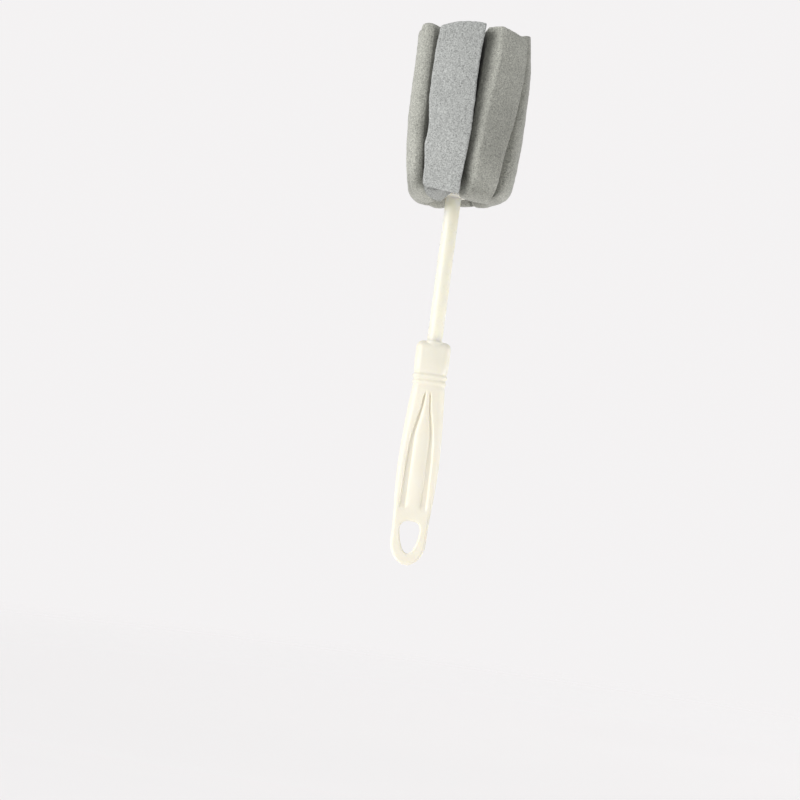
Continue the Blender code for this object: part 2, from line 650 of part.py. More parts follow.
def main():
    clear_scene()
    cream = new_material("cream_plastic", (0.90, 0.87, 0.74), 0.35)
    pale = new_material("pale_plastic", (0.84, 0.82, 0.76), 0.45)
    foam = new_material("grey_foam", (0.36, 0.37, 0.34), 0.95)
    make_grip(cream)
    make_rod(cream)
    make_collar(pale)
    make_sleeve(pale)
    make_button(pale)
    for index in range(len(PETALS)):
        make_petal(index, foam)


main()
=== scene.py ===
"""Sponge cup brush, dressed for its picture.

Fine surfaces for the moulded grip, the rod, the core and the foam petals, worked out as whole arrays,
with procedural finishes and a plain studio. Metres, +Z up the rod's axis, the front facing -Y.
Sizes repeat the named values of the part's own source.
"""

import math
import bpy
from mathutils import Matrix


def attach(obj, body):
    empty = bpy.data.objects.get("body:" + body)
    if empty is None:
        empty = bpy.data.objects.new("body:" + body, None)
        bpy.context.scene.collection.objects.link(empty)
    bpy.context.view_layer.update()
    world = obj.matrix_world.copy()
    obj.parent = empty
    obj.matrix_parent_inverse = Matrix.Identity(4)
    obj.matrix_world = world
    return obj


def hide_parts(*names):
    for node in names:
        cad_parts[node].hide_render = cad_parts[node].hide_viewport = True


bl_info = {
    "name": "Sponge Cup Brush",
    "version": (1, 0, 0),
    "blender": (4, 5, 0),
    "location": "View3D > Sidebar > Cup Brush",
    "description": "Builds a foam-headed cup brush round its packed frame, and a plain studio",
    "category": "Add Mesh",
}

from itertools import product

import bmesh
import bpy
import numpy as np
from bpy.props import FloatProperty, FloatVectorProperty, IntProperty, PointerProperty
from bpy.types import Operator, Panel, PropertyGroup
from mathutils import Matrix, Vector

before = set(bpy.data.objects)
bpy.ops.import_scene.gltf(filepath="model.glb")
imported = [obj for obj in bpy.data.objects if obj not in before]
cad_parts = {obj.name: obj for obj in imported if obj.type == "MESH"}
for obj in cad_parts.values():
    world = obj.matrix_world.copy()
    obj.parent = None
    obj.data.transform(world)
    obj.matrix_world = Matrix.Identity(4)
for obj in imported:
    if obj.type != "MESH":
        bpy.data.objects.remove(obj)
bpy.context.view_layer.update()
BODY = "root"

# Clearances
SEAT_GAP = 0.0003
FOAM_GAP = 0.0004
WELD_DISTANCE = 0.000002

# Steps and roundings that several pieces share
TURN_STEPS = 96
FINE_TURN_STEPS = 120
EDGE_FROM = 15.0
EDGE_TO = 90.0
EDGE_STEPS = 6
MOST_OF_EDGE = 0.45

# Hanging eye
END_LENGTH = 0.0122
END_TIP_HALF_WIDTH = 0.0019
EYE_HALF_WIDTH_OUTSIDE = 0.0089
EYE_LAND_THICKNESS = 0.0066
EYE_LAND_CORNER = 0.0016
EYE_BOTTOM_RIM = 0.0058
EYE_HOLE_WIDTH = 0.0104
EYE_HOLE_HEIGHT = 0.0160
EYE_HOLE_FLARE = 0.0009
EYE_FLARE_FROM = 0.07
EYE_FLARE_STEPS = 10
EYE_STEPS = 112
EYE_HOLE_TAPER = 0.24
EYE_HOLE_SQUARE_TOP = 0.70
EYE_HOLE_SQUARE_FOOT = 0.96
EYE_BRIDGE = 0.0028

# Grip
GRIP_LENGTH = 0.1120
EYE_LEVEL = 0.0160
BELLY_LEVEL = 0.0470
BELLY_CORNER = 0.0028
NECK_LEVEL = 0.0900
NECK_THICKNESS = 0.0120
NECK_CORNER = 0.0048
FACE_CROWN = 0.0005
SHOULDER_LEVEL = 0.1030
SHOULDER_TOP_THICKNESS = 0.0090
SHOULDER_ROUND = 0.0035
BOSS_WALL = 0.0009
BOSS_LENGTH = 0.0140
BOSS_TAPER = 0.62
MOUTH_ROUND = 0.0003
MOUTH_FLARE = 1.2 * MOUTH_ROUND
BEAD_COUNT = 2
BEAD_PITCH = 0.0030
BEAD_LEVEL = 0.0926
PANEL_LAND = 0.0014
PANEL_TOP_BELOW_BEADS = 0.0024
PANEL_WALL = 0.0010
PANEL_V_LENGTH = 0.0250
PANEL_V_HALF_WIDTH = 0.0016
PANEL_RUN_OUT = 0.0036
PANEL_WIDTH_SHARE = 0.93
SPINE_WIDTH = 0.0077
WALL_OF_PANEL = 0.3
SPINE_OF_FLOOR = 0.8
CORNER_OF_WIDTH = 0.5
CORNER_OF_THICKNESS = 0.85
TIP_STEPS = 26
SHOULDER_STEPS = 14
SHOULDER_TURN = math.radians(84)
SPINE_STEPS = 14
FLOOR_STEPS = 6
WALL_STEPS = 9
RIM_STEPS = 7
SIDE_STEPS = 7
SECTION_STEPS = 12
GRIP_ROW = 0.00042
BEAD_ROW = 0.00016
NECK_ROW = 0.00055

# Rod and core
ROD_EXPOSED = 0.0732
ROD_INNER_DIAMETER = 0.0064
ROD_IN_SOCKET = 0.0240
ROD_FLATS = 0.0066
ROD_FLATS_LENGTH = 0.0200
ROD_CHAMFER = 0.0005
ROD_ROWS = 40
STEP_ROUND = 0.0004
COLLAR_HUB_DIAMETER = 0.0096
COLLAR_HUB_LENGTH = 0.0008
COLLAR_FLANGE_DIAMETER = 0.0138
COLLAR_FLANGE_THICKNESS = 0.0016
COLLAR_EDGE = 0.0003
SLEEVE_DIAMETER = 0.0120
SLEEVE_RIB_COUNT = 12
SLEEVE_RIB_DEPTH = 0.0006
RIB_FROM = 0.35
RIB_TO = 0.65
BUTTON_DIAMETER = 0.0160
BUTTON_THICKNESS = 0.0022
BUTTON_CROWN = 0.0008
BUTTON_DOME = ((0.9, -0.3), (0.55, 0.6), (0.0, 0.9))
BUTTON_SKIRT = 0.0040
BUTTON_SUNK = 0.0020

# Foam head
HEAD_HEIGHT = 0.0866
HEAD_FULLEST_AT = 0.68
HEAD_TOP_DRAW_IN = 0.040
HEAD_TOP_DRAW_IN_SHIFT = 0.050
HEAD_FOOT_DRAW_IN = 0.2075
HEAD_FOOT_DRAW_IN_SHIFT = -0.0275
HEAD_FOOT_POWER = 3.4
HEAD_FOOT_POWER_SHIFT = 0.6
FOOT_CORNER = 0.0083
FOOT_CORNER_SHIFT = 0.0012
FOOT_RUN = 0.0108
FOOT_SIDE_ROUND = 0.0026
FOOT_PINCH_RUN = 0.0055
FOOT_HOLLOW = 0.0076
FOOT_FLAT_MARGIN = 0.0009
CUT_FOOT_RADIUS = 0.0240
CUT_FOOT_RAISE = 0.0036
CUT_FOOT_TILT = 0.0019
CUT_FOOT_INSIDE = 0.0036
CUT_FOOT_LEAN = 0.42
CUT_FOOT_NOTCH = 0.0050
CUT_FOOT_SPREAD = 0.5
NOTCH_RUN = 0.0030
PETAL_TOE = 0.0120
SHARE_FROM = 0.0100
EDGE_WAVE = 0.0016
EDGE_WAVE_RUN = 0.58
POCKET_RUN = 0.0012
TOP_HOLLOW_MARGIN = 0.0010
TOP_HOLLOW_SLOPE = 0.0050
FACE_BULGE = 0.0007
SWAY_NODE = 0.60
TOP_SPREAD = 6
FLANK_STEPS = 44
CORNER_STEPS = 14
CORNER_STRAIGHT = 0.35
CORNER_OF_DEPTH = 0.45
CORNER_OF_HALF = 0.7
CORNER_CLEAR = 0.15
FACE_STEPS = 56
INNER_STEPS = 3
ROW_STEPS = 170
FOOT_STEPS = 20
CAP_STEPS = 15
FOOT_CAP_STEPS = 13
LINE_FROM_SLEEVE = 0.0025
LINE_FROM_FACE = 0.0045

# Foam's relief, its cells in metres or in pores
WAVE_CELL = 0.012
DENT_CELL = 0.0045
DENT_SHARE = 0.4
GRAIN_CELL = 1.5
PORE_CELL = 1.1
PORE_LEVEL = 0.30
PORE_DEPTH = 3.0
RELIEF_SINK = 0.3
INNER_SINK = 0.6
INNER_RELIEF = 0.4
INNER_FROM = 0.75
INNER_RUN = 0.2
NOISE_SIDE = 32

# Foam's tone, painted shade between the petals, and painted light and shade by height on one petal
FOAM_CLOUD_SCALE = 85.0
CLOUD_TONES = (0.95, 1.05)
SPECKLE_TONES = (0.62, 1.36)
PIT_SPAN = (0.08, 0.36)
PIT_TONES = (0.52, 1.06)
# Painted shade: inward of these radii the foam is mixed toward a dark colour that stands in for the
# shade deep between the petals, less so at the feet and the cut tops.
GROOVE_SHADE_RUN = 0.0065
CUT_GROOVE_SHADE_END = 0.0235
SKIN_GROOVE_SHADE_END = 0.0254
DEEPER_GROOVE_SHADE_END = 0.0278
FOOT_UNSHADED = 0.85
FOOT_UNSHADED_FROM = 0.2 * FOOT_RUN
FOOT_UNSHADED_RUN = 0.0150
TOP_UNSHADED = 0.9
TOP_UNSHADED_RUN = 0.0080
# Painted light and shade up one petal's face: darker low down, lighter high up, plain again at the foot.
LOW_PAINTED_SHADE = 0.83
LOW_PAINTED_SHADE_AT = 0.2060
HIGH_PAINTED_LIGHT = 1.13
HIGH_PAINTED_LIGHT_AT = 0.2600
SPECKLES_IN_PORE = 1.3
PITS_IN_PORE = 1.05

# Plastic's tone and gloss, and the middle stretch of a noise pattern's values
NOISE_SPAN = (0.3, 0.7)
CLOUD_SCALE = 70.0
SKIN_SCALE = 900.0
GLOSSIER = 0.04
DULLER = 0.05

# Levels that follow
EYE_HOLE_TOP = EYE_BOTTOM_RIM + EYE_HOLE_HEIGHT
LAND_TOP = EYE_HOLE_TOP + EYE_HOLE_FLARE + EYE_BRIDGE
PANEL_BOTTOM = LAND_TOP + PANEL_LAND
BEADS_TOP = BEAD_LEVEL + BEAD_COUNT * BEAD_PITCH / 2
BEADS_BOTTOM = BEAD_LEVEL - BEAD_COUNT * BEAD_PITCH / 2
PANEL_TOP = BEADS_BOTTOM - PANEL_TOP_BELOW_BEADS
COLLAR_BOTTOM = GRIP_LENGTH + ROD_EXPOSED
ROD_STEP = COLLAR_BOTTOM + COLLAR_HUB_LENGTH - SEAT_GAP
COLLAR_TOP = COLLAR_BOTTOM + COLLAR_HUB_LENGTH + COLLAR_FLANGE_THICKNESS
CORE_BOTTOM = COLLAR_TOP + SEAT_GAP
HEAD_LOWEST = CORE_BOTTOM + FOAM_GAP - FOOT_HOLLOW
HEAD_TOP = HEAD_LOWEST + HEAD_HEIGHT
BUTTON_UNDERSIDE = HEAD_TOP - BUTTON_SUNK - BUTTON_THICKNESS
SKIRT_BOTTOM = BUTTON_UNDERSIDE - BUTTON_SKIRT
SLEEVE_TOP = SKIRT_BOTTOM - SEAT_GAP
ROD_TOP = BUTTON_UNDERSIDE - SEAT_GAP
PETAL_INNER_RADIUS = SLEEVE_DIAMETER / 2 + FOAM_GAP
FOOT_FLAT_RADIUS = COLLAR_FLANGE_DIAMETER / 2 + FOOT_FLAT_MARGIN
TOP_HOLLOW_RADIUS = BUTTON_DIAMETER / 2 + TOP_HOLLOW_MARGIN
TOP_HOLLOW_DEPTH = HEAD_TOP - BUTTON_UNDERSIDE + SEAT_GAP

# Petals, anticlockwise from above. Angles in degrees, the rest in metres.
PETAL_FIELDS = (
    "name", "node", "azimuth", "half", "foot_half", "left", "right", "drift", "sway", "extra",
    "tilt", "crown", "cut", "edge", "left_share", "right_share", "lift", "hollow", "flare",
)
PETALS = [
    dict(zip(PETAL_FIELDS, row))
    for row in (
        ("foam_front", "petal_front", -17.2, 0.0120, 0.0120, 0.0014, 0.0006,
         5.4, -1.2, 0.0008, 0.0014, 0.0016, True, 0.0004, 0.945, 1.02, 0.0, 0.0160, 0.42),
        ("foam_front_right", "petal_front_right", 36.0, 0.0112, 0.0080, 0.0016, 0.0014,
         12.0, 2.0, 0.0008, -0.0016, 0.0004, False, 0.0008, 0.80, 0.97, 0.0, 0.0205, -0.38),
        ("foam_right", "petal_right", 84.0, 0.0102, 0.0092, 0.0030, 0.0036,
         12.0, 1.0, 0.0044, 0.0005, 0.0004, False, 0.0006, 0.85, 1.0, 0.0022, 0.0190, 0.0),
        ("foam_back_right", "petal_back_right", 126.0, 0.0094, 0.0084, 0.0050, 0.0044,
         4.0, -0.8, 0.0004, 0.0003, 0.0008, False, 0.0008, 0.95, 0.72, 0.0030, 0.0180, 0.0),
        ("foam_back", "petal_back", 165.0, 0.0104, 0.0090, 0.0022, 0.0046,
         3.0, 1.2, 0.0, -0.0006, 0.0010, False, 0.0008, 1.0, 0.90, 0.0036, 0.0170, 0.0),
        ("foam_back_left", "petal_back_left", 209.0, 0.0098, 0.0086, 0.0052, 0.0034,
         -3.0, -1.0, 0.0006, 0.0006, 0.0008, False, 0.0008, 0.66, 1.0, 0.0008, 0.0160, 0.0),
        ("foam_left", "petal_left", 253.0, 0.0104, 0.0088, 0.0044, 0.0040,
         1.0, 0.6, 0.0038, -0.0002, 0.0024, False, 0.0028, 0.95, 0.90, 0.0, 0.0140, 0.0),
        ("foam_front_left", "petal_front_left", 293.5, 0.0104, 0.0096, 0.0050, 0.0046,
         -1.0, -0.8, 0.0030, 0.0, 0.0036, False, 0.0030, 1.0, 0.42, -0.0004, 0.0130, 0.32),
    )
]

# Camera and studio
IMAGE_SIDE = 800
SENSOR_MM = 36.0
FOCAL_PX = 1900.0
EYE_END_PX = (405.0, 565.0)
FLOOR_BELOW = 0.077
FLOOR_RADIUS = 0.75
FLOOR_RINGS = 25
FLOOR_CLOUD_SCALE = 3.0
FLOOR_FADE = 0.25
FLOOR_LIFT = 0.395
FLOOR_GLOW = 0.66
KEY_AZIMUTH = math.radians(-56.0)
KEY_ELEVATION = math.radians(13.0)
KEY_SPREAD = math.radians(48.0)
FILL_PLACE = (1.15, 0.15, 0.35)
FILL_TARGET = 0.5 * HEAD_TOP
FILL_SIZE = 0.80
LOW_PLACE = (0.32, -0.10, 0.05)
LOW_TARGET = 0.096
LOW_SIZE = 0.10
LOW_SPREAD = math.radians(40.0)


# Settings


def amount(name, description, default, unit="LENGTH"):
    """A length, or an amount in another unit, that the user can change."""
    return FloatProperty(name=name, description=description, default=default, unit=unit)


def tint(name, description, default):
    """A colour that the user can change."""
    return FloatVectorProperty(
        name=name, description=description, default=default, subtype="COLOR", size=3, min=0, max=1)


class GripSettings(PropertyGroup):
    """Sizes and colours of the moulded grip, the rod and the core."""

    length: amount("Grip length", "From the hanging eye's end to the shoulder's top", GRIP_LENGTH)
    belly_width: amount("Belly width", "Widest part of the grip, across its broad face", 0.0205)
    belly_thickness: amount("Belly thickness", "Front to back at the widest part", 0.0112)
    neck_width: amount("Neck width", "Width under the beads", 0.0162)
    shoulder_width: amount("Shoulder width", "Width above the beads", 0.0174)
    bead_height: amount("Bead height", "How far each bead stands out of the neck", 0.00045)
    bead_groove: amount("Bead groove", "Depth of the grooves beside the beads", 0.00025)
    panel_depth: amount("Panel depth", "Depth of the inset panel's floor", 0.0012)
    spine_rise: amount("Spine rise", "Height of the half-round spine over the panel's floor", 0.0013)
    rod_diameter: amount("Rod diameter", "Thickness of the rod", 0.0077)
    cream: tint("Cream plastic", "Colour of the grip and the rod", (0.90, 0.868, 0.752))
    cream_warm: tint("Cream, warmer", "Colour that the plastic clouds toward", (0.905, 0.855, 0.725))
    pale: tint("Pale plastic", "Colour of the collar, the sleeve and the button", (0.84, 0.83, 0.76))


class FoamSettings(PropertyGroup):
    """Sizes and colours of the foam head."""

    height: amount("Head height", "From the lowest foot to the cut tops", HEAD_HEIGHT)
    radius: amount("Head radius", "Rod's axis to the petals' faces at their fullest", 0.02915)
    shift: amount("Head shift", "How far the whole head leans out to the right", 0.0011)
    grain: amount("Grain", "Height of the foam's fine relief", 0.00012)
    lumps: amount("Lumps", "Height of the soft waves in the petals' faces", 0.00028)
    pore: amount("Pore size", "Width of the foam's pores", 0.0009)
    cut_face: tint("Cut face", "Colour of the flat, freshly cut petal", (0.466, 0.477, 0.462))
    skin: tint("Foam", "Colour of the other petals", (0.490, 0.492, 0.441))
    # Painted shade: the dark colour that the foam is mixed toward deep between the petals, standing in
    # for the shade there.
    inside: tint("Painted groove shade", "Colour of the painted shade deep between the petals", (0.060, 0.060, 0.048))
    seed: IntProperty(name="Seed", description="Start of the foam's random relief", default=7)


class StudioSettings(PropertyGroup):
    """Camera, floor and light."""

    distance: amount("Camera distance", "Camera to the plane of the hanging eye's end", 0.94)
    lean: amount("Lean", "Turn of the brush in the picture", math.radians(7.60), "ROTATION")
    away: amount("Away", "How far the head leans away from the camera", math.radians(4.7), "ROTATION")
    backdrop: tint("Backdrop", "Colour behind the brush", (0.905, 0.890, 0.893))
    floor: tint("Floor", "Colour of the floor under the brush", (0.93, 0.915, 0.918))
    key: amount("Key light", "Strength of the main light", 2.02, "NONE")
    fill: amount("Fill light", "Power of the second lamp", 2.25, "POWER")
    low_fill: amount("Low fill", "Power of the lamp beside the rod and the grip", 0.023, "POWER")
    sky: amount("Sky", "Strength of the light from all round", 0.36, "NONE")


# Sums on whole arrays


def mix(low, high, share):
    """low + (high - low) * share."""
    return low + (high - low) * share


def ease(share):
    """The smooth step 3 s^2 - 2 s^3 of a share held between 0 and 1."""
    share = np.clip(share, 0.0, 1.0)
    return share * share * (3.0 - 2.0 * share)


def rise(value, low, high):
    """The smooth step of how far a value is from low to high."""
    return ease((value - low) / (high - low))


def arc_share(share):
    """The quarter circle 1 - sqrt(1 - s^2) of a share."""
    return 1.0 - np.sqrt(1.0 - share**2)


def round_inset(into, radius):
    """The quarter circle R - sqrt(R^2 - d^2) of how far a place is into the last R."""
    into = np.clip(into, 0.0, radius)
    return radius - np.sqrt(radius**2 - into**2)


def lattice_noise(points, cell, seed):
    """Noise from -1 to 1: seeded values on a cubic lattice, blended by the smooth step."""
    side = NOISE_SIDE
    table = np.random.default_rng(seed).uniform(-1.0, 1.0, (side, side, side))
    place = points / cell
    base = np.floor(place).astype(int)
    share = ease(place - base)
    total = np.zeros(points.shape[:-1])
    for corner in product((0, 1), repeat=3):
        index = (base + corner) % side
        weight = np.where(np.array(corner, bool), share, 1.0 - share).prod(axis=-1)
        total += weight * table[index[..., 0], index[..., 1], index[..., 2]]
    return total


# Meshes


def grid_mesh(name, points, loop_rows=False):
    """A mesh of quads from a (rows, columns, 3) grid of points: each row closed, the poles welded."""
    rows, columns = points.shape[:2]
    index = np.arange(rows * columns).reshape(rows, columns)
    if loop_rows:
        index = np.vstack([index, index[:1]])
    index = np.hstack([index, index[:, :1]])
    quads = np.stack([index[:-1, :-1], index[:-1, 1:], index[1:, 1:], index[1:, :-1]], axis=-1)
    mesh = bpy.data.meshes.new(name)
    mesh.from_pydata(points.reshape(-1, 3), [], quads.reshape(-1, 4), shade_flat=False)
    weld(mesh)
    return mesh


def weld(mesh):
    """Merge points that coincide, drop flat faces and turn every face outwards."""
    work = bmesh.new()
    work.from_mesh(mesh)
    bmesh.ops.remove_doubles(work, verts=work.verts, dist=WELD_DISTANCE)
    bmesh.ops.dissolve_degenerate(work, edges=work.edges, dist=WELD_DISTANCE / 2)
    bmesh.ops.recalc_face_normals(work, faces=work.faces)
    work.to_mesh(mesh)
    work.free()
    mesh.update()


def read_array(items, field="co"):
    """A field of three numbers of a mesh's vertices, or of their normals, as a (count, 3) array."""
    values = np.empty(len(items) * 3, np.float32)
    items.foreach_get(field, values)
    return values.reshape(-1, 3).astype(float)


def push_out(mesh, height):
    """Move every vertex along its normal by its own height."""
    places = read_array(mesh.vertices) + read_array(mesh.vertex_normals, "vector") * height[:, None]
    mesh.vertices.foreach_set("co", places.reshape(-1).astype(np.float32))
    mesh.update()


def turned(name, profile, sides, looped=False):
    """A surface of revolution: each (radius, height) of the profile goes round the rod's axis."""
    profile = np.asarray(profile, float)
    turn = np.linspace(0.0, math.tau, sides, endpoint=False)[None, :]
    radius, height = profile[:, :1], profile[:, 1:]
    points = np.stack([radius * np.cos(turn), radius * np.sin(turn), height + 0.0 * turn], axis=-1)
    return grid_mesh(name, points, looped)


def softened(corners, radius, steps, looped):
    """A profile with each corner swapped for a quadratic curve from a radius before to one after."""
    count = len(corners)
    result = []
    for i, corner in enumerate(corners):
        here = np.array(corner, float)
        if not looped and i in (0, count - 1):
            result.append(here)
            continue
        before, after = np.array(corners[i - 1], float), np.array(corners[(i + 1) % count], float)
        behind, ahead = np.linalg.norm(before - here), np.linalg.norm(after - here)
        reach = min(radius, MOST_OF_EDGE * behind, MOST_OF_EDGE * ahead)
        start, stop = here + (before - here) / behind * reach, here + (after - here) / ahead * reach
        for t in np.linspace(0.0, 1.0, steps):
            result.append((1 - t) ** 2 * start + 2 * t * (1 - t) * here + t * t * stop)
    return result


def add_object(name, data):
    """A new object at the origin, linked to the scene."""
    item = bpy.data.objects.new(name, data)
    bpy.context.scene.collection.objects.link(item)
    return item


def place_piece(name, mesh, material, nodes, sharp=None):
    """Add a finished mesh with its finish, its body and the nodes that it stands for."""
    mesh.shade_smooth()
    if sharp is not None:
        mesh.set_sharp_from_angle(angle=math.radians(sharp))
    mesh.materials.clear()
    mesh.materials.append(material)
    piece = add_object(name, mesh)
    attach(piece, BODY)
    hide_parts(*nodes)
    return piece


# Finishes


def feed(tree, item, values):
    """Link each named or numbered input to a socket, or give it a value: a colour gets its alpha."""
    for key, value in values.items():
        socket = item.inputs[key]
        if isinstance(value, bpy.types.NodeSocket):
            tree.links.new(value, socket)
        else:
            socket.default_value = (*value, 1.0) if socket.type == "RGBA" else value


def add_node(tree, kind, *values, **settings):
    """A shader node with its settings, and its open inputs fed with values in their order."""
    item = tree.nodes.new(kind)
    for key, value in settings.items():
        setattr(item, key, value)
    feed(tree, item, dict(zip([i for i, socket in enumerate(item.inputs) if socket.enabled], values)))
    return item


def new_finish(name):
    """A node material, its tree, its Principled shader and its object coordinates."""
    material = bpy.data.materials.new(name)
    material.use_nodes = True
    tree = material.node_tree
    place = add_node(tree, "ShaderNodeTexCoord").outputs["Object"]
    return material, tree, tree.nodes["Principled BSDF"], place


def noise_factor(tree, coordinates, scale, detail=2.0, roughness=0.5):
    """A noise pattern's factor on given coordinates."""
    return add_node(tree, "ShaderNodeTexNoise", coordinates, scale, detail, roughness).outputs["Fac"]


def mapped(tree, value, from_low, from_high, to_low, to_high):
    """A value carried from one range to another, held inside it."""
    item = add_node(tree, "ShaderNodeMapRange", value, from_low, from_high, to_low, to_high)
    return item.outputs["Result"]


def blended(tree, factor, low, high, way="MIX"):
    """Two colours, or sockets of them, mixed by a factor."""
    item = add_node(tree, "ShaderNodeMix", factor, low, high, data_type="RGBA", blend_type=way)
    return next(socket for socket in item.outputs if socket.enabled)


def larger(tree, first, second):
    """The larger of two values."""
    return add_node(tree, "ShaderNodeMath", first, second, operation="MAXIMUM").outputs[0]


def summed(tree, first, second, weight):
    """first + second * weight."""
    return add_node(tree, "ShaderNodeMath", second, weight, first, operation="MULTIPLY_ADD").outputs[0]


def reach_of(tree, place):
    """The length of a vector."""
    return add_node(tree, "ShaderNodeVectorMath", place, operation="LENGTH").outputs["Value"]


def relief(tree, height, strength, distance):
    """A surface direction tilted by a height."""
    bump = add_node(tree, "ShaderNodeBump")
    feed(tree, bump, {"Strength": strength, "Distance": distance, "Height": height})
    return bump.outputs["Normal"]


def plastic_finish(name, colour, warm, roughness, bump, depth=0.0020, share=0.30):
    """Moulded plastic: faint clouds of tone and gloss, a fine uneven skin, light let in to a depth."""
    material, tree, shader, place = new_finish(name)
    clouds = noise_factor(tree, place, CLOUD_SCALE, detail=3.0)
    fine = noise_factor(tree, place, SKIN_SCALE)
    feed(tree, shader, {
        "Base Color": blended(tree, mapped(tree, clouds, *NOISE_SPAN, 0.0, 1.0), colour, warm),
        "Roughness": mapped(tree, fine, *NOISE_SPAN, roughness - GLOSSIER, roughness + DULLER),
        "Normal": relief(tree, summed(tree, fine, clouds, 2.0), 0.10, bump),
        "Subsurface Weight": share,
        "Subsurface Radius": (1.0, 0.9, 0.6),
        "Subsurface Scale": depth,
    })
    return material


def foam_finish(name, face, foam, lit_from, low=1.0, high=1.0):
    """Open foam: a speckle of pores and walls, and slow changes of tone.

    Toward the rod it darkens to a painted shade, standing in for the shade deep between the petals, but
    less so at the feet and the cut tops. Low and high are painted shade low down and painted light high
    up, and the tone is plain again at the foot.
    """
    material, tree, shader, place = new_finish(name)
    flat = add_node(tree, "ShaderNodeVectorMath", place, (1.0, 1.0, 0.0), operation="MULTIPLY")
    reach = reach_of(tree, flat.outputs["Vector"])
    z = add_node(tree, "ShaderNodeSeparateXYZ", place).outputs["Z"]
    # Painted shade: the lit share runs from the painted groove shade at the rod to full colour at
    # lit_from, and is lessened at the feet and the cut tops.
    foot, foot_top = HEAD_LOWEST + FOOT_UNSHADED_FROM, HEAD_LOWEST + FOOT_UNSHADED_RUN
    lit = mapped(tree, reach, lit_from - GROOVE_SHADE_RUN, lit_from, 0.0, 1.0)
    lit = larger(tree, lit, mapped(tree, z, foot, foot_top, FOOT_UNSHADED, 0.0))
    lit = larger(tree, lit, mapped(tree, z, HEAD_TOP - TOP_UNSHADED_RUN, HEAD_TOP, 0.0, TOP_UNSHADED))
    colour = blended(tree, lit, foam.inside, face)

    clouds = noise_factor(tree, place, FOAM_CLOUD_SCALE, detail=3.0, roughness=0.55)
    grain = noise_factor(tree, place, SPECKLES_IN_PORE / foam.pore, detail=3.0, roughness=0.65)
    cells = add_node(tree, "ShaderNodeTexVoronoi", place, PITS_IN_PORE / foam.pore)
    pits = mapped(tree, cells.outputs["Distance"], *PIT_SPAN, 0.0, 1.0)
    for tone in (
        mapped(tree, clouds, *NOISE_SPAN, *CLOUD_TONES),
        mapped(tree, grain, *NOISE_SPAN, *SPECKLE_TONES),
        mapped(tree, pits, 0.0, 1.0, *PIT_TONES),
        # Painted light and shade by height: darker low down, lighter high up, and plain again at the
        # foot.
        mapped(tree, z, LOW_PAINTED_SHADE_AT, HIGH_PAINTED_LIGHT_AT, low, high),
        mapped(tree, z, HEAD_LOWEST + FOOT_RUN / 2, LOW_PAINTED_SHADE_AT, 1.0 / low, 1.0),
    ):
        colour = blended(tree, 1.0, colour, tone, "MULTIPLY")
    feed(tree, shader, {
        "Base Color": colour,
        "Normal": relief(tree, summed(tree, grain, pits, 0.6), 0.55, 0.5 * foam.pore),
        "Roughness": 0.95,
        "Specular IOR Level": 0.15,
        "Sheen Weight": 0.30,
        "Sheen Roughness": 0.5,
    })
    return material


# Grip


def shoulder_inset(z, length):
    """The rounding of the shoulder's top edge."""
    return round_inset(z - (length - SHOULDER_ROUND), SHOULDER_ROUND)


def bead_offset(z, grip):
    """Two beads between three grooves: a squared cosine of the pitch, fading out at both ends."""
    low, high = BEADS_BOTTOM - BEAD_PITCH / 2, BEADS_TOP + BEAD_PITCH / 2
    edge = np.minimum(z - low, high - z)
    wave = np.cos(math.pi * (z - BEADS_BOTTOM - BEAD_PITCH / 2) / BEAD_PITCH) ** 2
    bead = mix(-grip.bead_groove, grip.bead_height, wave)
    fade = -grip.bead_groove * np.sin(math.pi * np.clip(edge, 0.0, BEAD_PITCH / 2) / BEAD_PITCH)
    return np.where(edge < 0, 0.0, np.where(edge < BEAD_PITCH / 2, fade, bead))


def grip_half_width(z, grip):
    """Half width: round end, swell from eye to belly, cosine waist to the neck, then the shoulder."""
    belly, neck = grip.belly_width / 2, grip.neck_width / 2
    low = mix(EYE_HALF_WIDTH_OUTSIDE, belly, rise(z, EYE_LEVEL, BELLY_LEVEL))
    waist = np.cos(math.pi / 2 * (z - BELLY_LEVEL) / (NECK_LEVEL - BELLY_LEVEL))
    high = mix(neck, grip.shoulder_width / 2, rise(z, NECK_LEVEL, SHOULDER_LEVEL))
    half = np.where(z < BELLY_LEVEL, low, np.where(z < NECK_LEVEL, mix(neck, belly, waist), high))
    end = np.sqrt(1.0 - (1.0 - np.clip(z / END_LENGTH, 0.0, 1.0)) ** 2)
    half = np.maximum(END_TIP_HALF_WIDTH, half * end)
    return half + bead_offset(z, grip) - shoulder_inset(z, grip.length)


def grip_half_thickness(z, grip):
    """Half thickness: flat land at the eye, fuller to the neck, ramped at the top, its end round."""
    low = mix(EYE_LAND_THICKNESS, grip.belly_thickness, rise(z, LAND_TOP, BELLY_LEVEL))
    middle = mix(grip.belly_thickness, NECK_THICKNESS, rise(z, BELLY_LEVEL, NECK_LEVEL))
    start = BEADS_TOP + BEAD_PITCH
    high = mix(NECK_THICKNESS, SHOULDER_TOP_THICKNESS, rise(z, start, grip.length))
    half = np.where(z < BELLY_LEVEL, low, np.where(z < NECK_LEVEL, middle, high)) / 2
    half -= round_inset(EYE_LAND_CORNER - z, EYE_LAND_CORNER)
    return half + bead_offset(z, grip) - shoulder_inset(z, grip.length)


def grip_corner(z, grip):
    """Radius of the section's corners, kept inside the section."""
    low = mix(EYE_LAND_CORNER, BELLY_CORNER, rise(z, LAND_TOP, BELLY_LEVEL))
    high = mix(BELLY_CORNER, NECK_CORNER, rise(z, BELLY_LEVEL, NECK_LEVEL))
    radius = np.where(z < BELLY_LEVEL, low, high)
    radius = np.minimum(radius, CORNER_OF_WIDTH * grip_half_width(z, grip))
    return np.minimum(radius, CORNER_OF_THICKNESS * grip_half_thickness(z, grip))


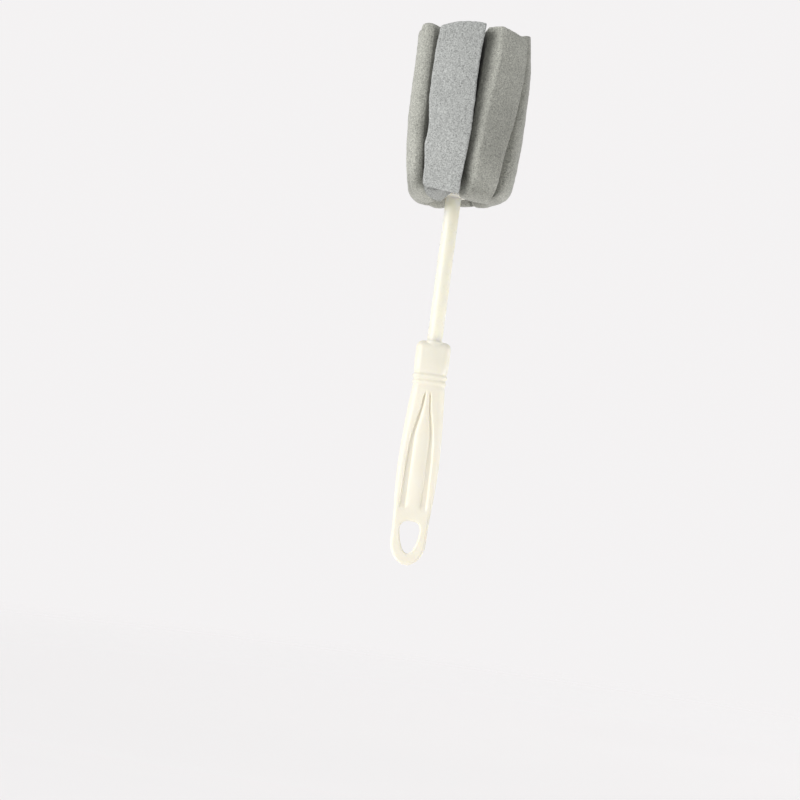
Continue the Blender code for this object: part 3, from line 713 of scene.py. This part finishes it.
def face_stations(z, flat):
    """Half of a broad face's stations, from its middle out, and the panel's and the spine's half widths.

    They close up along a quarter sine to the spine's foot, then run evenly over floor, wall and rim.
    The panel widens from its V at the top to its share of the face, by a quarter sine.
    """
    full = PANEL_WIDTH_SHARE * flat
    down = np.clip((PANEL_TOP - z) / PANEL_V_LENGTH, 0.0, 1.0)
    panel = np.minimum(mix(PANEL_V_HALF_WIDTH, full, np.sin(math.pi / 2 * down)), full)
    wall = np.minimum(PANEL_WALL, WALL_OF_PANEL * panel)
    spine = np.minimum(SPINE_WIDTH / 2, SPINE_OF_FLOOR * (panel - wall))
    stations = [spine * np.sin(np.linspace(0.0, math.pi / 2, SPINE_STEPS))[None, :]]
    for low, high, count in (
        (spine, panel - wall, FLOOR_STEPS),
        (panel - wall, panel, WALL_STEPS),
        (panel, flat, RIM_STEPS),
    ):
        stations.append(mix(low, high, np.linspace(0.0, 1.0, count)[None, 1:]))
    return np.hstack(stations), panel, wall, spine


def face_relief(x, z, flat, panel, wall, spine, grip):
    """Height over the plain broad face: a slight crown, less the inset panel, plus the half-round spine.

    The panel's wall is a smooth step, and the spine is the upper half of an ellipse.
    """
    crown = FACE_CROWN * rise(z, LAND_TOP, BELLY_LEVEL) * (1.0 - (x / flat) ** 2)
    ends = np.minimum(ease((z - PANEL_BOTTOM) / PANEL_RUN_OUT), ease((PANEL_TOP - z) / PANEL_RUN_OUT))
    inset = ease((panel - x) / wall)
    bulge = np.sqrt(np.clip(1.0 - (x / spine) ** 2, 0.0, 1.0))
    return crown + ends * (grip.spine_rise * bulge - grip.panel_depth * inset)


def grip_levels(length):
    """Heights of the grip's rows: close at both rounded ends and through the beads."""
    tip = END_LENGTH * (1.0 - np.cos(np.linspace(0.0, math.pi / 2, TIP_STEPS)))
    low = np.arange(END_LENGTH, BEADS_BOTTOM - BEAD_PITCH, GRIP_ROW)
    beads = np.arange(BEADS_BOTTOM - BEAD_PITCH, BEADS_TOP + BEAD_PITCH, BEAD_ROW)
    high = np.arange(BEADS_TOP + BEAD_PITCH, length - SHOULDER_ROUND, NECK_ROW)
    edge = length - SHOULDER_ROUND * (1.0 - np.sin(np.linspace(0.0, SHOULDER_TURN, SHOULDER_STEPS)))
    return np.unique(np.round(np.concatenate([tip, low, beads, high, edge]), 7))


def grip_surface(grip):
    """The grip's rows: each a rounded rectangle, four straight stretches and four quarter circles.

    A row is (x, y) = corner centre + radius * (cos, sin) at the corners, and y carries the face relief
    on both broad faces. Both ends close on their row's middle.
    """
    z = grip_levels(grip.length)[:, None]
    width, thick, corner = grip_half_width(z, grip), grip_half_thickness(z, grip), grip_corner(z, grip)
    flat, side = width - corner, thick - corner
    along = np.linspace(-1.0, 1.0, SIDE_STEPS)[None, 1:-1]
    half_x, panel, wall, spine = face_stations(z, flat)
    half_y = thick + face_relief(half_x, z, flat, panel, wall, spine, grip)
    face_x = np.hstack([-half_x[:, ::-1], half_x[:, 1:]])
    face_y = np.hstack([half_y[:, ::-1], half_y[:, 1:]])
    quarter = np.linspace(0.0, math.pi / 2, SECTION_STEPS)[None, 1:-1]

    def arc(sign_x, sign_y, start):
        """A quarter turn round one of the section's corners."""
        turn = start + quarter
        return sign_x * flat + corner * np.cos(turn), sign_y * side + corner * np.sin(turn)

    stretches = [
        (face_x, -face_y),
        arc(1, -1, -math.pi / 2),
        (width + 0.0 * along, side * along),
        arc(1, 1, 0.0),
        (-face_x, face_y),
        arc(-1, 1, math.pi / 2),
        (-width + 0.0 * along, -side * along),
        arc(-1, -1, math.pi),
    ]
    x, y = (np.hstack(parts) for parts in zip(*stretches))
    return close_ends(np.stack([x, y, z + 0.0 * x], axis=-1))


def close_ends(rows, steps=5):
    """Add rows that shrink evenly to the middle of the first and of the last row."""
    shares = np.linspace(0.0, 1.0, steps + 1)[1:, None, None]
    foot, top = rows[0], rows[-1]
    low = mix(foot[None], foot.mean(axis=0)[None, None], shares[::-1])
    high = mix(top[None], top.mean(axis=0)[None, None], shares)
    return np.concatenate([low, rows, high])


def eye_cutter():
    """The hanging eye's egg through the land, opening along a quarter circle at both faces.

    A row is a superellipse, boxed above and round below, its width tapering down, grown by the flare.
    """
    land = EYE_LAND_THICKNESS / 2
    turn = np.linspace(EYE_FLARE_FROM, math.pi / 2, EYE_FLARE_STEPS)
    depth = EYE_HOLE_FLARE * (1.0 - np.cos(turn))
    grow = EYE_HOLE_FLARE * (1.0 - np.sin(turn))
    y = np.concatenate([[-land - 0.5 * EYE_HOLE_FLARE], depth - land])
    grow = np.concatenate([[EYE_HOLE_FLARE], grow])
    y, grow = np.concatenate([y, -y[::-1]])[:, None], np.concatenate([grow, grow[::-1]])[:, None]
    turn = np.linspace(0.0, math.tau, EYE_STEPS, endpoint=False)[None, :]
    across, up = np.sin(turn), np.cos(turn)
    square = np.where(up > 0, EYE_HOLE_SQUARE_TOP, EYE_HOLE_SQUARE_FOOT)
    across, up = np.sign(across) * np.abs(across) ** square, np.sign(up) * np.abs(up) ** square
    wide = EYE_HOLE_WIDTH / 2 * (1.0 + EYE_HOLE_TAPER * (up - 0.5)) + grow
    tall = EYE_HOLE_HEIGHT / 2 + grow
    middle = EYE_BOTTOM_RIM + EYE_HOLE_HEIGHT / 2
    return close_ends(np.stack([wide * across, y + 0.0 * wide, middle + tall * up], axis=-1), 1)


def cut_with(mesh, cutters):
    """Join and cut a mesh with solids by exact Booleans, and give back the finished mesh."""
    body = add_object("blank", mesh)
    tools = []
    for shape, operation in cutters:
        tool = add_object("tool", shape)
        step = body.modifiers.new("step", "BOOLEAN")
        step.operation, step.object, step.solver = operation, tool, "EXACT"
        tools.append(tool)
    view = bpy.context.evaluated_depsgraph_get()
    result = bpy.data.meshes.new_from_object(body.evaluated_get(view))
    for item in [body] + tools:
        bpy.data.objects.remove(item, do_unlink=True)
    return result


# Petals


def near_foot(height, foam, run):
    """One at the foot, falling evenly to nothing a run above it."""
    return np.clip(1.0 - height * foam.height / run, 0.0, 1.0)


def past_collar(outward, run):
    """The smooth step from the flat round the collar to a run outside it."""
    return ease((outward - FOOT_FLAT_RADIUS) / run)


def head_share(side, height):
    """The head's radius as a share of its fullest: drawn in by powers of the distance from that level.

    The amounts, and the power at the foot, change with the side, the sine of the azimuth.
    """
    top = HEAD_TOP_DRAW_IN + HEAD_TOP_DRAW_IN_SHIFT * side
    foot = HEAD_FOOT_DRAW_IN + HEAD_FOOT_DRAW_IN_SHIFT * side
    above = np.clip((height - HEAD_FULLEST_AT) / (1.0 - HEAD_FULLEST_AT), 0.0, 1.0)
    below = np.clip((HEAD_FULLEST_AT - height) / HEAD_FULLEST_AT, 0.0, 1.0)
    return 1.0 - top * above**2 - foot * below ** (HEAD_FOOT_POWER + HEAD_FOOT_POWER_SHIFT * side)


def petal_reach(petal, height, foam):
    """Rod's axis to the petal's outer face: the head's radius, less a round lower corner or a cut foot.

    The head's shift and the corner's radius go with the sine of the azimuth.
    """
    side = math.sin(math.radians(petal["azimuth"]))
    reach = (foam.radius + foam.shift * side) * head_share(side, height)
    if petal["cut"]:
        return mix(reach, CUT_FOOT_RADIUS, 1.0 - ease(height / CUT_FOOT_SPREAD))
    corner = FOOT_CORNER + FOOT_CORNER_SHIFT * side
    return reach - corner * arc_share(near_foot(height, foam, corner))


def turned_azimuth(petal, height):
    """Azimuth plus drift up the petal plus one wave of sway."""
    wave = np.sin(math.tau * (height - SWAY_NODE))
    return petal["azimuth"] + petal["drift"] * (height - 0.5) + petal["sway"] * wave


def flank_and_corner(reach, half, corner, sector, flare):
    """One side's (outward, sideways) curves from the inside out, one row for each height.

    The flank widens with the sector's edge up to the half width, which a flare narrows inward, and a
    quarter ellipse, partly straightened, turns the corner.
    """
    slope = np.tan(np.radians(sector))
    clear = FOAM_GAP / 2 / np.cos(np.radians(sector))
    corner = np.minimum(corner, CORNER_OF_DEPTH * (reach - PETAL_INNER_RADIUS))
    start = reach - corner
    half = np.minimum(half, start * slope - clear)
    half = np.minimum(half, reach * slope - clear - CORNER_CLEAR * corner)
    along = np.linspace(0.0, 1.0, FLANK_STEPS, endpoint=False)[None, :]
    outward = mix(PETAL_INNER_RADIUS, start, along)
    sideways = np.minimum(outward * slope - clear, half - flare * (start - outward))
    share = np.linspace(0.0, 1.0, CORNER_STEPS)[None, :]
    turn = share * math.pi / 2
    across = np.minimum(corner, CORNER_OF_HALF * half)
    outward = np.hstack([outward, start + corner * mix(np.sin(turn), share, CORNER_STRAIGHT)])
    sideways = np.hstack([sideways, half - across * mix(1.0 - np.cos(turn), share, CORNER_STRAIGHT)])
    return outward, sideways


def petal_rows(index, height, foam):
    """A petal's outlines at each height: left flank, face with its bulge, right flank, inner edge.

    The half widths take their shares above the foot. The cut slab's left edge has one wave low down,
    sin(2 pi s) sin(pi s), and the other petals' flanks are pinched in round at the foot.
    """
    petal, before, after = PETALS[index], PETALS[index - 1], PETALS[(index + 1) % len(PETALS)]
    middle = turned_azimuth(petal, height)
    left_sector = (middle - turned_azimuth(before, height)) % 360 / 2
    right_sector = (turned_azimuth(after, height) - middle) % 360 / 2
    reach = petal_reach(petal, height, foam)
    half = mix(petal["foot_half"], petal["half"], ease(height / HEAD_FULLEST_AT))
    full = ease(height * foam.height / SHARE_FROM)
    left_half = mix(1.0, petal["left_share"], full) * half
    right_half = mix(1.0, petal["right_share"], full) * half
    if petal["cut"]:
        share = np.clip(height / EDGE_WAVE_RUN, 0.0, 1.0)
        left_half = left_half + EDGE_WAVE * np.sin(math.tau * share) * np.sin(math.pi * share)
    flare = petal["flare"]
    left_out, left_side = flank_and_corner(reach, left_half, petal["left"], left_sector, flare)
    right_out, right_side = flank_and_corner(reach, right_half, petal["right"], right_sector, flare)
    if not petal["cut"]:
        pinch = FOOT_SIDE_ROUND * arc_share(near_foot(height, foam, FOOT_SIDE_ROUND)) / half
        left_side = left_side * (1.0 - pinch * past_collar(left_out, FOOT_PINCH_RUN))
        if not after["cut"]:
            right_side = right_side * (1.0 - pinch * past_collar(right_out, FOOT_PINCH_RUN))
    share = np.linspace(0.0, 1.0, FACE_STEPS + 2)[None, 1:-1]
    face_out = reach + FACE_BULGE * (1.0 - (2.0 * share - 1.0) ** 2)
    face_side = mix(-left_side[:, -1:], right_side[:, -1:], share)
    share = np.linspace(0.0, 1.0, INNER_STEPS + 2)[None, 1:-1]
    inner_side = mix(right_side[:, :1], -left_side[:, :1], share)
    outward = np.hstack([left_out, face_out, right_out[:, ::-1], PETAL_INNER_RADIUS + 0.0 * inner_side])
    sideways = np.hstack([-left_side, face_side, right_side[:, ::-1], inner_side])
    return outward, sideways, middle, reach


def petal_places(petal, outward, sideways, height, middle, foam):
    """Places in space of a petal's (outward, sideways) at each height, with its foot and top shaped.

    The underside rises toward the collar by a smooth step. The cut slab's is tilted, with a half sine
    of a notch behind its face and a quarter circle down to its toe. The top is tilted and crowned, and
    sinks round the button. The foot's forms fade out evenly over its run, and the top's and the
    lift by a power of the distance from the other end.
    """
    across = sideways / petal["half"]
    under = FOOT_HOLLOW * (1.0 - past_collar(outward, petal["hollow"] - FOOT_FLAT_RADIUS))
    if petal["cut"]:
        level = CUT_FOOT_RAISE - CUT_FOOT_TILT * across
        notch = np.clip((CUT_FOOT_RADIUS - outward) / NOTCH_RUN, 0.0, 1.0)
        level = level + CUT_FOOT_NOTCH * np.sin(math.pi * notch)
        inside = CUT_FOOT_INSIDE * (1.0 + sideways / (CUT_FOOT_LEAN * outward))
        bulge = np.clip((outward - PETAL_TOE) / (CUT_FOOT_RADIUS - NOTCH_RUN - PETAL_TOE), 0.0, 1.0)
        under = mix(inside, level, arc_share(bulge))
        under = mix(FOOT_HOLLOW, under, past_collar(outward, POCKET_RUN))
    cut = petal["extra"] + petal["tilt"] * across - petal["crown"] * across**2
    cut = cut * rise(outward, TOP_HOLLOW_RADIUS, foam.radius)
    sink = TOP_HOLLOW_DEPTH * (1.0 - ease((outward - TOP_HOLLOW_RADIUS) / TOP_HOLLOW_SLOPE))
    foot = near_foot(height, foam, FOOT_RUN)
    z = HEAD_LOWEST + height * foam.height + foot * under + height**TOP_SPREAD * (cut - sink)
    z = z + petal["lift"] * (1.0 - height) ** TOP_SPREAD * past_collar(outward, FOOT_PINCH_RUN)
    turn = np.radians(middle)
    x = outward * np.sin(turn) + sideways * np.cos(turn)
    y = -outward * np.cos(turn) + sideways * np.sin(turn)
    return np.stack([x, y, z], axis=-1)


def petal_surface(index, foam):
    """One petal as a closed grid: cap, rounded edge, side rows from foot to top, rounded edge, cap.

    On the caps each outline point runs to its own place on the petal's middle line. The rounded edges
    follow a quarter circle: in by R (1 - cos), down by R (1 - sin).
    """
    petal = PETALS[index]
    edge = petal["edge"]
    corner = FOOT_RUN / foam.height
    low = corner * (1.0 - np.cos(np.linspace(0.0, math.pi / 2, FOOT_STEPS)))
    height = np.concatenate([low, np.linspace(corner, 1.0, ROW_STEPS)[1:]])[:, None]
    outward, sideways, middle, reach = petal_rows(index, height, foam)
    sides = petal_places(petal, outward, sideways, height, middle, foam)
    sides[..., 2] -= edge * height**TOP_SPREAD
    if petal["cut"]:
        sides[..., 2] += edge * near_foot(height, foam, FOOT_RUN)

    def cap(row, sign, steps):
        """Rows from an end's outline, over its rounded edge, to the middle line."""
        out, side = outward[[row]], sideways[[row]]
        low_end, high_end = PETAL_INNER_RADIUS + LINE_FROM_SLEEVE, reach[row, 0] - LINE_FROM_FACE
        count = FLANK_STEPS + CORNER_STEPS
        flank = (out[:, :count] + out[:, count + FACE_STEPS : 2 * count + FACE_STEPS][:, ::-1]) / 2
        flank = np.clip(flank, low_end, high_end)
        face, inner = np.full((1, FACE_STEPS), high_end), np.full((1, INNER_STEPS), low_end)
        line = np.hstack([flank, face, flank[:, ::-1], inner])
        span = np.hypot(out - line, side) + 1e-6
        turn = np.linspace(0.0, math.pi / 2, EDGE_STEPS)[1:, None]
        inset = np.minimum(edge * (1.0 - np.cos(turn)) / span, 0.5)
        drop = edge * (1.0 - np.sin(turn))
        start = np.minimum(edge / span, 0.5)
        share = np.linspace(0.0, 1.0, steps + 1)[1:, None]
        inset = np.concatenate([inset, mix(start, 1.0, share)])
        drop = np.concatenate([drop, 0.0 * share])
        out, side = mix(out, line, inset), mix(side, 0.0, inset)
        rows = petal_places(petal, out, side, height[[row]], middle[[row]], foam)
        rows[..., 2] -= sign * drop
        return rows

    top = cap(-1, 1.0, CAP_STEPS)
    foot = cap(0, -1.0, CAP_STEPS) if petal["cut"] else cap(0, 0.0, FOOT_CAP_STEPS)
    return np.concatenate([foot[::-1], sides, top])


def foam_relief(mesh, foam, index):
    """Soft waves, dents, grain and pores on a petal, all inward of its plain surface.

    Each is a lattice noise on its own cell. The pores are where the finest one runs low.
    """
    places = read_array(mesh.vertices)
    seed = foam.seed + 5 * index
    waves = lattice_noise(places, WAVE_CELL, seed)
    dents = lattice_noise(places, DENT_CELL, seed + 1)
    grain = lattice_noise(places, GRAIN_CELL * foam.pore, seed + 2)
    pores = np.clip(-lattice_noise(places, PORE_CELL * foam.pore, seed + 3) - PORE_LEVEL, 0.0, 1.0)
    height = foam.lumps * (waves + DENT_SHARE * dents) + foam.grain * (grain - PORE_DEPTH * pores)
    reach = np.hypot(places[:, 0], places[:, 1])
    inner = 1.0 - ease((reach - INNER_FROM * foam.radius) / (INNER_RUN * foam.radius))
    deep = INNER_RELIEF * height - INNER_SINK * foam.lumps
    push_out(mesh, mix(height - RELIEF_SINK * foam.lumps, deep, inner))


# Turned pieces


def rod_surface(diameter, grow, bottom, flats, flats_top, rest):
    """Rows of the rod: circles, pared to two flats at |y| = flats / 2 up to flats_top.

    Each (height, radius) of rest gives one more row above the flats.
    """
    turn = np.linspace(0.0, math.tau, TURN_STEPS, endpoint=False)
    radius = diameter / 2 + grow
    rows = [(bottom, radius - ROD_CHAMFER, flats - ROD_CHAMFER)]
    rows += [(bottom + ROD_CHAMFER, radius, flats), (flats_top, radius, flats)]
    rows += [(flats_top + SEAT_GAP, radius, 2 * radius)]
    rows += [(height, reach, 2 * radius) for height, reach in rest]
    level, reach, span = (np.array(column)[:, None] for column in zip(*rows))
    y = np.clip(reach * np.sin(turn), -span / 2, span / 2)
    return close_ends(np.stack([reach * np.cos(turn), y, level + 0.0 * y], axis=-1), 2)


def round_edge(middle_radius, middle_z, radius):
    """Points of a profile's rounded top edge: circle centre + R (cos, sin)."""
    turn = np.radians(np.linspace(EDGE_FROM, EDGE_TO, EDGE_STEPS))
    return list(zip(middle_radius + radius * np.cos(turn), middle_z + radius * np.sin(turn)))


# Operators


class CUPBRUSH_OT_grip(Operator):
    """Add the moulded grip: lofted body, boss, hanging eye and the rod's socket"""

    bl_idname = "cup_brush.add_grip"
    bl_label = "Grip"

    def execute(self, context):
        grip = context.scene.cup_brush_grip
        top, wide = grip.length, grip.rod_diameter / 2 + SEAT_GAP
        boss_radius, boss_bottom, lip = wide + BOSS_WALL, top - BOSS_LENGTH, BOSS_WALL / 2
        boss = [(0.0, boss_bottom), (BOSS_TAPER * boss_radius, boss_bottom)]
        boss += [(boss_radius, boss_bottom + BOSS_LENGTH / 2), (boss_radius, top - lip)]
        boss += round_edge(boss_radius - lip, top - lip, lip)
        boss = turned("boss", boss + [(0.0, top)], TURN_STEPS)

        flats_top = top - ROD_IN_SOCKET + ROD_FLATS_LENGTH
        socket = rod_surface(
            grip.rod_diameter, SEAT_GAP, top - ROD_IN_SOCKET - SEAT_GAP, ROD_FLATS + 2 * SEAT_GAP,
            flats_top, [(top - MOUTH_ROUND, wide), (top + MOUTH_ROUND, wide + MOUTH_FLARE)])

        body = grid_mesh("grip_body", grip_surface(grip))
        eye = grid_mesh("eye", eye_cutter())
        cutters = [(boss, "UNION"), (eye, "DIFFERENCE")]
        cutters += [(grid_mesh("socket", socket), "DIFFERENCE")]
        mesh = cut_with(body, cutters)
        weld(mesh)
        if not len(mesh.polygons) > len(body.polygons) / 2:
            raise RuntimeError("the grip's Boolean steps lost its body")
        finish = plastic_finish("moulded_cream", grip.cream, grip.cream_warm, 0.36, 0.00012)
        place_piece("moulded_grip", mesh, finish, ["grip"], sharp=42)
        return {"FINISHED"}


class CUPBRUSH_OT_rod(Operator):
    """Add the round rod, keyed by its flats and stepped under the collar"""

    bl_idname = "cup_brush.add_rod"
    bl_label = "Rod"

    def execute(self, context):
        grip = context.scene.cup_brush_grip
        bottom = grip.length - ROD_IN_SOCKET
        flats_top = bottom + ROD_FLATS_LENGTH + 2 * SEAT_GAP
        radius, inner = grip.rod_diameter / 2, ROD_INNER_DIAMETER / 2
        step = ROD_STEP - STEP_ROUND
        rest = [(level, radius) for level in np.linspace(flats_top + 2 * SEAT_GAP, step, ROD_ROWS)]
        rest += [(z, r) for r, z in round_edge(radius - STEP_ROUND, step, STEP_ROUND)]
        rest += [(ROD_STEP, inner), (ROD_TOP - ROD_CHAMFER, inner), (ROD_TOP, inner - ROD_CHAMFER)]
        rows = rod_surface(grip.rod_diameter, 0.0, bottom, ROD_FLATS, flats_top, rest)
        mesh = grid_mesh("rod", rows)
        finish = plastic_finish("rod_cream", grip.cream, grip.cream_warm, 0.30, 0.00008, 0.0090, 0.85)
        place_piece("rod_shaft", mesh, finish, ["stem"], sharp=42)
        return {"FINISHED"}


class CUPBRUSH_OT_core(Operator):
    """Add the collar under the foam, the ribbed sleeve inside it and the button in its top"""

    bl_idname = "cup_brush.add_core"
    bl_label = "Collar, sleeve and button"

    def execute(self, context):
        grip = context.scene.cup_brush_grip
        finish = plastic_finish("moulded_pale", grip.pale, grip.cream_warm, 0.42, 0.00010)
        hub, flange = COLLAR_HUB_DIAMETER / 2, COLLAR_FLANGE_DIAMETER / 2
        wide_bore, bore = grip.rod_diameter / 2 + SEAT_GAP, ROD_INNER_DIAMETER / 2 + SEAT_GAP
        seat = ROD_STEP + SEAT_GAP
        collar = [(wide_bore, COLLAR_BOTTOM), (hub, COLLAR_BOTTOM), (hub, seat), (flange, seat)]
        collar += [(flange, COLLAR_TOP), (bore, COLLAR_TOP), (bore, seat), (wide_bore, seat)]

        crest, root = SLEEVE_DIAMETER / 2, SLEEVE_DIAMETER / 2 - SLEEVE_RIB_DEPTH
        pitch = (SLEEVE_TOP - CORE_BOTTOM) / SLEEVE_RIB_COUNT
        sleeve = [(bore, CORE_BOTTOM)]
        for rib in range(SLEEVE_RIB_COUNT):
            foot = CORE_BOTTOM + rib * pitch
            sleeve += [(root, foot), (crest, foot + RIB_FROM * pitch), (crest, foot + RIB_TO * pitch)]
        sleeve += [(root, SLEEVE_TOP), (bore, SLEEVE_TOP)]

        head, skirt = BUTTON_DIAMETER / 2, SLEEVE_DIAMETER / 2
        rim = BUTTON_UNDERSIDE + BUTTON_THICKNESS
        button = [(0.0, BUTTON_UNDERSIDE), (bore, BUTTON_UNDERSIDE), (bore, SKIRT_BOTTOM)]
        button += [(skirt, SKIRT_BOTTOM), (skirt, BUTTON_UNDERSIDE), (head, BUTTON_UNDERSIDE)]
        button += [(head, rim - BUTTON_CROWN)]
        button += [(share * head, rim + lift * BUTTON_CROWN) for share, lift in BUTTON_DOME]

        for name, node, profile, radius, steps, looped, sides in (
            ("collar_ring", "foot_collar", collar, COLLAR_EDGE, 5, True, FINE_TURN_STEPS),
            ("ribbed_core", "core_sleeve", sleeve, SLEEVE_RIB_DEPTH / 2, 5, True, TURN_STEPS),
            ("domed_button", "end_button", button, BUTTON_CROWN / 2, 7, False, FINE_TURN_STEPS),
        ):
            mesh = turned(name, softened(profile, radius, steps, looped), sides, looped)
            place_piece(name, mesh, finish, [node], sharp=50)
        return {"FINISHED"}


class CUPBRUSH_OT_petals(Operator):
    """Add the eight foam petals of the head"""

    bl_idname = "cup_brush.add_petals"
    bl_label = "Foam petals"

    def execute(self, context):
        foam = context.scene.cup_brush_foam
        # Every foam finish carries painted shade between the petals. The third copy has deeper painted
        # shade, with painted light high up and painted shade low down.
        cut = foam_finish("foam_cut_face", foam.cut_face, foam, CUT_GROOVE_SHADE_END)
        skin = foam_finish("foam_skin", foam.skin, foam, SKIN_GROOVE_SHADE_END)
        deeper_shaded_skin = foam_finish("foam_skin_deeper_painted_shade", foam.skin, foam, DEEPER_GROOVE_SHADE_END, LOW_PAINTED_SHADE, HIGH_PAINTED_LIGHT)
        for index, petal in enumerate(PETALS):
            mesh = grid_mesh(petal["name"], petal_surface(index, foam))
            foam_relief(mesh, foam, index)
            # The petal whose flank flares inward takes the copy with deeper painted shade and painted
            # light high up.
            finish = cut if petal["cut"] else deeper_shaded_skin if petal["flare"] < 0.0 else skin
            piece = place_piece(petal["name"], mesh, finish, [petal["node"]])
        return {"FINISHED"}


class CUPBRUSH_OT_studio(Operator):
    """Add the pale floor, the soft lamps, the plain surround and the camera"""

    bl_idname = "cup_brush.add_studio"
    bl_label = "Studio"

    def execute(self, context):
        studio = context.scene.cup_brush_studio
        context.scene.view_settings.view_transform = "Standard"
        place_floor(studio)
        light_surround(studio)
        level = math.cos(KEY_ELEVATION)
        toward = (math.sin(KEY_AZIMUTH) * level, -math.cos(KEY_AZIMUTH) * level, math.sin(KEY_ELEVATION))
        place_lamp("key", "SUN", toward, 0.0, energy=studio.key, angle=KEY_SPREAD)
        place_lamp("fill", "AREA", FILL_PLACE, FILL_TARGET, energy=studio.fill, size=FILL_SIZE)
        place_lamp(
            "low_fill", "AREA", LOW_PLACE, LOW_TARGET,
            energy=studio.low_fill, size=LOW_SIZE, spread=LOW_SPREAD)
        context.scene.camera = place_camera(studio)
        return {"FINISHED"}


# Studio


def place_floor(studio):
    """A level disc: rings of growing radius, its finish fading to clear toward the rim."""
    radius = FLOOR_RADIUS * np.linspace(0.0, 1.0, FLOOR_RINGS)
    turn = np.linspace(0.0, math.tau, TURN_STEPS, endpoint=False)
    x, y = radius[:, None] * np.cos(turn), radius[:, None] * np.sin(turn)
    mesh = grid_mesh("floor", np.stack([x, y, 0.0 * x - FLOOR_BELOW], axis=-1))
    mesh.shade_smooth()
    material, tree, shader, place = new_finish("matt_floor")
    cloud = mapped(tree, noise_factor(tree, place, FLOOR_CLOUD_SCALE), *NOISE_SPAN, 0.0, 1.0)
    feed(tree, shader, {
        "Base Color": blended(tree, cloud, studio.floor, [0.99 * value for value in studio.floor]),
        "Roughness": 0.9,
        "Specular IOR Level": 0.1,
        "Alpha": mapped(tree, reach_of(tree, place), FLOOR_FADE * FLOOR_RADIUS, FLOOR_RADIUS, 1.0, 0.0),
        "Emission Color": studio.backdrop,
        "Emission Strength": seen_rays(tree, FLOOR_LIFT, FLOOR_GLOW),
    })
    mesh.materials.append(material)
    floor = add_object("floor", mesh)


def seen_rays(tree, strength, rest=0.0):
    """One strength for camera, glossy and transmission rays, and another for the light on things."""
    path = add_node(tree, "ShaderNodeLightPath")
    seen = path.outputs["Is Camera Ray"]
    for kind in ("Is Glossy Ray", "Is Transmission Ray"):
        seen = larger(tree, seen, path.outputs[kind])
    return mapped(tree, seen, 0.0, 1.0, rest, strength)


def light_surround(studio):
    """A world that shows the backdrop's colour and lights the brush at its own strength."""
    world = bpy.data.worlds.new("surround")
    bpy.context.scene.world = world
    world.use_nodes = True
    tree = world.node_tree
    tree.nodes.clear()
    light = add_node(tree, "ShaderNodeBackground", (1.0, 1.0, 1.0), studio.sky).outputs[0]
    shown = add_node(tree, "ShaderNodeBackground", studio.backdrop, 1.0).outputs[0]
    choice = add_node(tree, "ShaderNodeMixShader", seen_rays(tree, 1.0), light, shown)
    add_node(tree, "ShaderNodeOutputWorld", choice.outputs[0])


def place_lamp(name, kind, place, target, **settings):
    """A lamp that faces a level of the rod's axis."""
    lamp = bpy.data.lights.new(name, kind)
    for key, value in settings.items():
        setattr(lamp, key, value)
    place = Vector(place)
    turn = (place - Vector((0.0, 0.0, target))).to_track_quat("Z", "Y").to_matrix().to_4x4()
    add_object(name, lamp).matrix_world = Matrix.Translation(place) @ turn


def place_camera(studio):
    """A camera for which the eye's end falls on its pixel and the rod's axis leans and recedes as set.

    In the camera's own axes the rod's axis is (sin lean cos away, cos lean cos away, -sin away).
    """
    lean, away, distance = studio.lean, studio.away, studio.distance
    right = Vector((math.cos(lean), -math.sin(lean), 0.0))
    up = Vector((math.sin(lean) * math.cos(away), math.cos(lean) * math.cos(away), -math.sin(away)))
    seen = Matrix((right, up.cross(right), up)).transposed().to_4x4()
    shift_x = (EYE_END_PX[0] - IMAGE_SIDE / 2) / FOCAL_PX
    shift_y = (EYE_END_PX[1] - IMAGE_SIDE / 2) / FOCAL_PX
    seen.translation = distance * Vector((shift_x, -shift_y, -1.0))
    data = bpy.data.cameras.new("camera")
    data.sensor_width = SENSOR_MM
    data.lens = FOCAL_PX / IMAGE_SIDE * SENSOR_MM
    data.clip_start = 0.01
    camera = add_object("camera", data)
    camera.matrix_world = seen.inverted()
    return camera


class CUPBRUSH_PT_build(Panel):
    """Buttons and sizes of the cup brush"""

    bl_label = "Cup brush"
    bl_idname = "CUPBRUSH_PT_build"
    bl_space_type = "VIEW_3D"
    bl_region_type = "UI"
    bl_category = "Cup Brush"

    def draw(self, context):
        for operator in OPERATORS:
            self.layout.operator(operator.bl_idname)
        for name, kind in SETTINGS.items():
            box = self.layout.box()
            for field in kind.__annotations__:
                box.prop(getattr(context.scene, name), field)


SETTINGS = {
    "cup_brush_grip": GripSettings,
    "cup_brush_foam": FoamSettings,
    "cup_brush_studio": StudioSettings,
}
OPERATORS = (
    CUPBRUSH_OT_grip,
    CUPBRUSH_OT_rod,
    CUPBRUSH_OT_core,
    CUPBRUSH_OT_petals,
    CUPBRUSH_OT_studio,
)


def register():
    for kind in (*SETTINGS.values(), *OPERATORS, CUPBRUSH_PT_build):
        bpy.utils.register_class(kind)
    for name, kind in SETTINGS.items():
        setattr(bpy.types.Scene, name, PointerProperty(type=kind))


def unregister():
    for name in SETTINGS:
        delattr(bpy.types.Scene, name)
    for kind in (CUPBRUSH_PT_build, *OPERATORS[::-1], *SETTINGS.values()):
        bpy.utils.unregister_class(kind)


def main():
    """Build the dressed brush and its studio."""
    register()
    bpy.ops.cup_brush.add_grip()
    bpy.ops.cup_brush.add_rod()
    bpy.ops.cup_brush.add_core()
    bpy.ops.cup_brush.add_petals()
    bpy.ops.cup_brush.add_studio()


if __name__ == "__main__":
    main()
